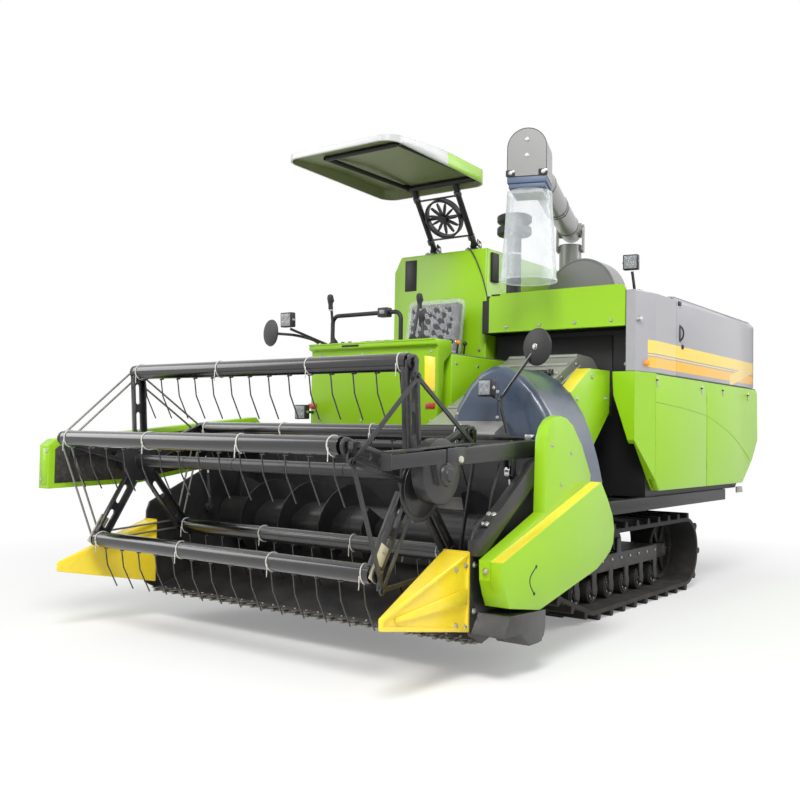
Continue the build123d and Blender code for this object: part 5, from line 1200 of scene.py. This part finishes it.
class HARVESTER_OT_unloader(bpy.types.Operator):
    """Adds the unloading tube's rim, clamps and chute, the drum's hoop and the clear sleeve"""
    bl_idname = "harvester.unloader"
    bl_label = "Unloader"

    def execute(self, context):
        tube = Piece("unloader_trim", "Silver paint")

        def on_face(across, z):
            return Vector((HEAD.x, HEAD.y, z)) + TURN * across

        rim = [on_face(0.12 * cos(pi * k / 20), HEAD.z + 0.1195 * sin(pi * k / 20)) for k in range(21)]
        rim += [on_face(-0.12, HEAD_FOOT), on_face(0.12, HEAD_FOOT)]
        for first, second in zip(rim, rim[1:] + rim[:1]):
            tube.take(bar(first, second, 0.0022, sides=8), "Dark paint")
        tube.bolts([on_face(0, z) + RUN * 0.0005 for z in (2.868, 2.77)], RUN, 0.01, 0.006)
        for across in (-0.1, 0.1):
            tube.take(panel(on_face(across, HEAD_FOOT + 0.019), TURN * 0.028, UP * 0.019, RUN * 0.006, 0.002),
                      "Gloss black")
            tube.bolts([on_face(across, HEAD_FOOT + 0.02) + RUN * 0.006], RUN, 0.009, 0.006)
        chute = Vector((HEAD.x, HEAD.y, 0)) + RUN * CHUTE_MIDDLE
        for low, high, half in ((2.602, 2.64, 0.1205), (2.572, 2.602, 0.112)):
            tube.take(panel(chute + UP * low, TURN * half, RUN * half, (0, 0, high - low), 0.004), "Blue straps")
        reach = Vector((0.421, -0.4, 2.76)) - ELBOW
        along = reach.normalized()
        for share in (0.1, 0.385, 0.415, 0.7, 0.86):
            tube.take(hoop(ELBOW + reach * share, along, 0.0925, 0.0875, 0.022, 48, 0.001))
        for share in (0.385, 0.415):
            for side in around(8, 0.0, TURN, along.cross(TURN)):
                tube.bolts([ELBOW + reach * share + side * 0.0915], side, 0.007, 0.006)
        tube.done("unloader", slot="silver_paint")

        dome = Piece("dome_hoop", "Silver paint")
        dome.take(hoop((0.1, 1.0285, 2.121), REAR, 0.274, 0.262, 0.004, 72))
        dome.done("machine", slot="silver_paint")

        sleeve = Piece("grain_sleeve", "Clear sleeve")
        shape = turned(chute, UP, ((0.1395, SLEEVE_TOP), (0.1425, 2.5), (0.149, 2.4), (0.1575, 2.28), (0.166, 2.16),
                                   (0.1735, 2.06), (0.1775, 2.014)), 72, side=LEFT)
        for vertex in shape.verts:
            out = Vector((*(vertex.co - chute).xy, 0)).normalized()
            share = (SLEEVE_TOP - vertex.co.z) / SLEEVE_LENGTH
            vertex.co -= out * 0.003 * share * (1 + sin(out.angle(LEFT) * 7 + vertex.co.z * 9))
        bmesh.ops.recalc_face_normals(shape, faces=shape.faces)
        bmesh.ops.solidify(shape, geom=shape.faces[:], thickness=0.0012)
        sleeve.take(shape, face_out=False)
        sleeve.take(hoop(chute + UP * 2.018, UP, 0.1785, 0.1755, 0.01, 72))
        thing = sleeve.done("unloader", "discharge_sleeve", slot="clear_sleeve")
        return {"FINISHED"}


def add_lamp(piece, centre, face, half=LAMP_HALF):
    """Adds a square lamp whose lens faces a direction."""
    centre, face = Vector(centre), Vector(face).normalized()
    side = face.cross(UP).normalized()
    up = side.cross(face)
    back = face * LAMP_DEPTH / 2
    piece.take(panel(centre - back, side * half, up * half, back * 2, 0.006, 3), "Black plastic")
    piece.take(panel(centre + back - face * 0.001, side * half * 0.84, up * half * 0.84, face * 0.003, 0.001),
               "Lamp lens")
    for k in range(-2, 3):
        piece.take(panel(centre + side * k * half * 0.38 - back - face * 0.006, side * 0.002, up * half * 0.8,
                         face * 0.01, 0.0006), "Black plastic")
    for a, b in CORNERS:
        bead = centre + (side * a + up * b) * half * 0.42 + back + face * 0.0015
        piece.take(turned(bead, face, ((0, 0.003), (0.01, 0.002), (0.0165, 0.0)), 16), "Lamp lens")
    for way in (side, -side):
        piece.bolts([centre + way * (half + 0.001)], way, 0.008, 0.005)


class HARVESTER_OT_lamps(bpy.types.Operator):
    """Makes the work lamps and the two mirrors, and dresses the air cleaner"""
    bl_idname = "harvester.lamps"
    bl_label = "Lamps, mirrors and air cleaner"

    def execute(self, context):
        lamps = Piece("lamp_heads", "Gloss black")
        for centre, face, foot, tip in (
                ((-0.969, -1.0, 1.777), (0, -1, -0.05), (-0.88, -0.72, 1.64), (-0.969, -0.975, 1.722)),
                ((0.89, 0.09, 2.145), (0.15, -1, -0.05), (0.89, 0.15, 1.978), (0.89, 0.108, 2.092)),
                ((-0.985, -0.83, 1.192), (0, -1, -0.03), (-0.96, -0.752, 1.192), (-0.972, -0.806, 1.192))):
            add_lamp(lamps, centre, face)
            lamps.take(bar(foot, tip, 0.009, sides=12))
        lamps.bolts(((0.86, 0.15, 1.9755), (0.92, 0.15, 1.9755)), UP)
        lamps.take(box((0.845, 0.13, 1.9755), (0.935, 0.17, 1.983), 0.002), "Zinc")
        lamps.done("machine", "work_lamps", slot="black_plastic")

        header = Piece("header_mirror_trim", "Gloss black")
        pole = -1.094
        header.take(bar((0.716, pole, 1.046), (0.716, pole, 1.062), 0.026, edge=0.002), "Zinc")
        header.take(pipe([(x, pole, z) for x, z in ((0.716, 1.058), (0.706, 1.095), (0.66, 1.245), (0.7, 1.295),
                                                    (0.882, 1.522))], 0.0095, 10))
        add_lamp(header, (0.583, pole, 1.313), (-0.15, -1, 0.05), 0.046)
        header.take(bar((0.66, pole, 1.245), (0.6, pole + 0.012, 1.272), 0.008, sides=10))
        facing = Vector((-0.24, -0.97, 0))
        disc = Vector((0.882, pole, 1.522))
        header.take(turned(disc, facing, ((0, 0.018), (0.03, 0.017), (0.07, 0.012), (0.094, 0.004),
                                          (0.098, -0.002), (0.095, -0.006)), 48), "Black plastic")
        header.take(turned(disc - facing * 0.0045, -facing, ((0, 0.002), (0.09, 0.0), (0.0955, -0.004)), 48),
                    "Chrome")
        header.bolts([disc + facing * 0.017], facing, 0.012)
        header.done("header", "header_mirror", slot="black_plastic")

        right = Piece("right_mirror", "Gloss black")
        right.take(pipe([(-0.94, -0.72, 1.637), (-0.942, -0.74, 1.665), (-0.985, -0.9, 1.69),
                         (-1.05, -0.945, 1.695), (-1.118, -0.988, 1.7)], 0.0095, 10))
        right.take(turned((-1.121, -1.0, 1.701), facing, ((0, 0.014), (0.03, 0.013), (0.065, 0.008), (0.085, 0.002),
                                                            (0.088, -0.004)), 44), "Black plastic")
        right.take(turned((-1.1205, -0.998, 1.701), -facing, ((0, 0.003), (0.08, 0.002), (0.087, -0.002)), 44),
                   "Chrome")
        right.take(bar((-0.94, -0.72, 1.6365), (-0.94, -0.72, 1.648), 0.022, edge=0.002), "Zinc")
        right.done("machine", "mirror_right", slot="black_plastic")

        cleaner = Piece("air_cleaner", "Black plastic")
        centre = Vector((0.0, 0.195, 0))
        profile = ((0.0, 1.9755), (0.054, 1.9755), (0.054, 1.99), (0.0495, 1.996), (0.0495, 2.405), (0.06, 2.42),
                   (0.108, 2.427), (0.1175, 2.437), (0.1175, 2.476), (0.108, 2.486), (0.058, 2.4895), (0.0545, 2.495),
                   (0.0545, 2.504), (0.06, 2.509), (0.11, 2.512), (0.1175, 2.522), (0.1175, 2.556), (0.1, 2.568),
                   (0.06, 2.5735), (0.0, 2.5745))
        cleaner.take(turned(centre, UP, profile, 56))
        for side in around(28, 0.0, LEFT, REAR):
            cleaner.take(bar(*(centre + side * 0.1155 + UP * z for z in (2.525, 2.553)), 0.0025, sides=6),
                         "Dark grille")
        for z in (2.02, 2.3):
            cleaner.take(hoop(centre + UP * z, UP, 0.05, 0.0478, 0.014), "Zinc")
        cleaner.done("machine", "air_precleaner", slot="black_plastic")
        return {"FINISHED"}


class HARVESTER_OT_stage(bpy.types.Operator):
    """Sets the pale floor, the lights, the world and the camera"""
    bl_idname = "harvester.stage"
    bl_label = "Studio"

    def execute(self, context):
        scene = context.scene
        floor_colour = tuple(scene.harvester_colours.floor)
        plane = bmesh.new()
        bmesh.ops.create_grid(plane, x_segments=2, y_segments=2, size=60.0)
        bmesh.ops.translate(plane, vec=(0, 0, CAD_BOX[0][2] - FLOOR_GAP), verts=plane.verts)
        floor = place_object("studio_floor", as_mesh("studio_floor", plane))
        tree, shader = fresh("Studio floor")
        point = object_point(tree)
        feed(tree, shader, {"Roughness": 0.9, "Specular IOR Level": 0.1, "Base Color": blend(
            tree, noise(tree, point, 2.0, 2.0), floor_colour, lighter(floor_colour, 0.985))})
        white = put(tree, "ShaderNodeEmission", {"Color": (1.0, 1.0, 1.0), "Strength": 1.0})
        away = put(tree, "ShaderNodeVectorMath", {0: point}, operation="LENGTH").outputs["Value"]
        share = times(tree, seen_directly(tree), ramp(tree, away, 2.6, 5.0, 0.25, 1.0))
        mixed = put(tree, "ShaderNodeMixShader", {0: share, 1: shader.outputs[0], 2: white.outputs[0]})
        feed(tree, tree.nodes["Material Output"], {"Surface": mixed.outputs[0]})
        floor.data.materials.append(FINISHES["Studio floor"])

        scene.world = world = bpy.data.worlds.new("Studio world")
        world.use_nodes = True
        tree = world.node_tree
        tree.nodes.clear()
        glow = put(tree, "ShaderNodeBackground", {"Color": (1.0, 1.0, 1.0), "Strength": ramp(
            tree, seen_directly(tree), 0.0, 1.0, 0.44, 1.0)})
        put(tree, "ShaderNodeOutputWorld", {"Surface": glow.outputs[0]})

        for name, place, target, power, width in (("key_light", (3.6, -6.6, 7.2), (0, -0.5, 0.9), 640.0, 3.0),
                                                  ("fill_light", (-6.0, -5.0, 4.5), (0, 0, 1.0), 150.0, 4.0),
                                                  ("rear_light", (5.5, 5.0, 5.5), (0, 0.5, 1.2), 240.0, 4.0)):
            lamp = bpy.data.lights.new(name, "AREA")
            lamp.energy, lamp.size = power, width
            thing = place_object(name, lamp)
            thing.location = place
            thing.rotation_euler = (Vector(target) - Vector(place)).to_track_quat("-Z", "Y").to_euler()

        scene.camera = camera = place_object("photo_camera", bpy.data.cameras.new("photo_camera"))
        camera.data.lens, camera.data.sensor_width, camera.data.clip_end = 42.76, 36.0, 200.0
        axes = Matrix(((0.80404, 0.00688, 0.59454), (0.59431, -0.03914, -0.80328), (0.01774, 0.99921, -0.03556)))
        camera.matrix_world = Matrix.Translation((3.23, -5.45, 1.06)) @ axes.to_4x4()
        scene.view_settings.view_transform = "Standard"
        return {"FINISHED"}


class HARVESTER_PT_panel(bpy.types.Panel):
    """Lists the harvester's pieces, sizes and colours"""
    bl_idname = "HARVESTER_PT_panel"
    bl_label = "Harvester"
    bl_space_type = "VIEW_3D"
    bl_region_type = "UI"
    bl_category = "Harvester"

    def draw(self, context):
        for operator in STEPS:
            self.layout.operator(operator.bl_idname)
        for holder in (context.scene.harvester_sizes, context.scene.harvester_colours):
            for label in holder.bl_rna.properties.keys():
                if label not in ("rna_type", "name"):
                    self.layout.prop(holder, label)


STEPS = (HARVESTER_OT_finishes, HARVESTER_OT_rounded, HARVESTER_OT_tracks, HARVESTER_OT_reel, HARVESTER_OT_header,
         HARVESTER_OT_guards, HARVESTER_OT_feeder, HARVESTER_OT_body, HARVESTER_OT_tank, HARVESTER_OT_station,
         HARVESTER_OT_seat, HARVESTER_OT_canopy, HARVESTER_OT_unloader, HARVESTER_OT_lamps, HARVESTER_OT_stage)
CLASSES = (HarvesterColours, HarvesterSizes, *STEPS, HARVESTER_PT_panel)


def register():
    for kind in CLASSES:
        bpy.utils.register_class(kind)
    bpy.types.Scene.harvester_colours = PointerProperty(type=HarvesterColours)
    bpy.types.Scene.harvester_sizes = PointerProperty(type=HarvesterSizes)


def unregister():
    del bpy.types.Scene.harvester_sizes
    del bpy.types.Scene.harvester_colours
    for kind in reversed(CLASSES):
        bpy.utils.unregister_class(kind)


def main():
    register()
    for operator in STEPS:
        group_name, action = operator.bl_idname.split(".")
        getattr(getattr(bpy.ops, group_name), action)()


if __name__ == "__main__":
    main()
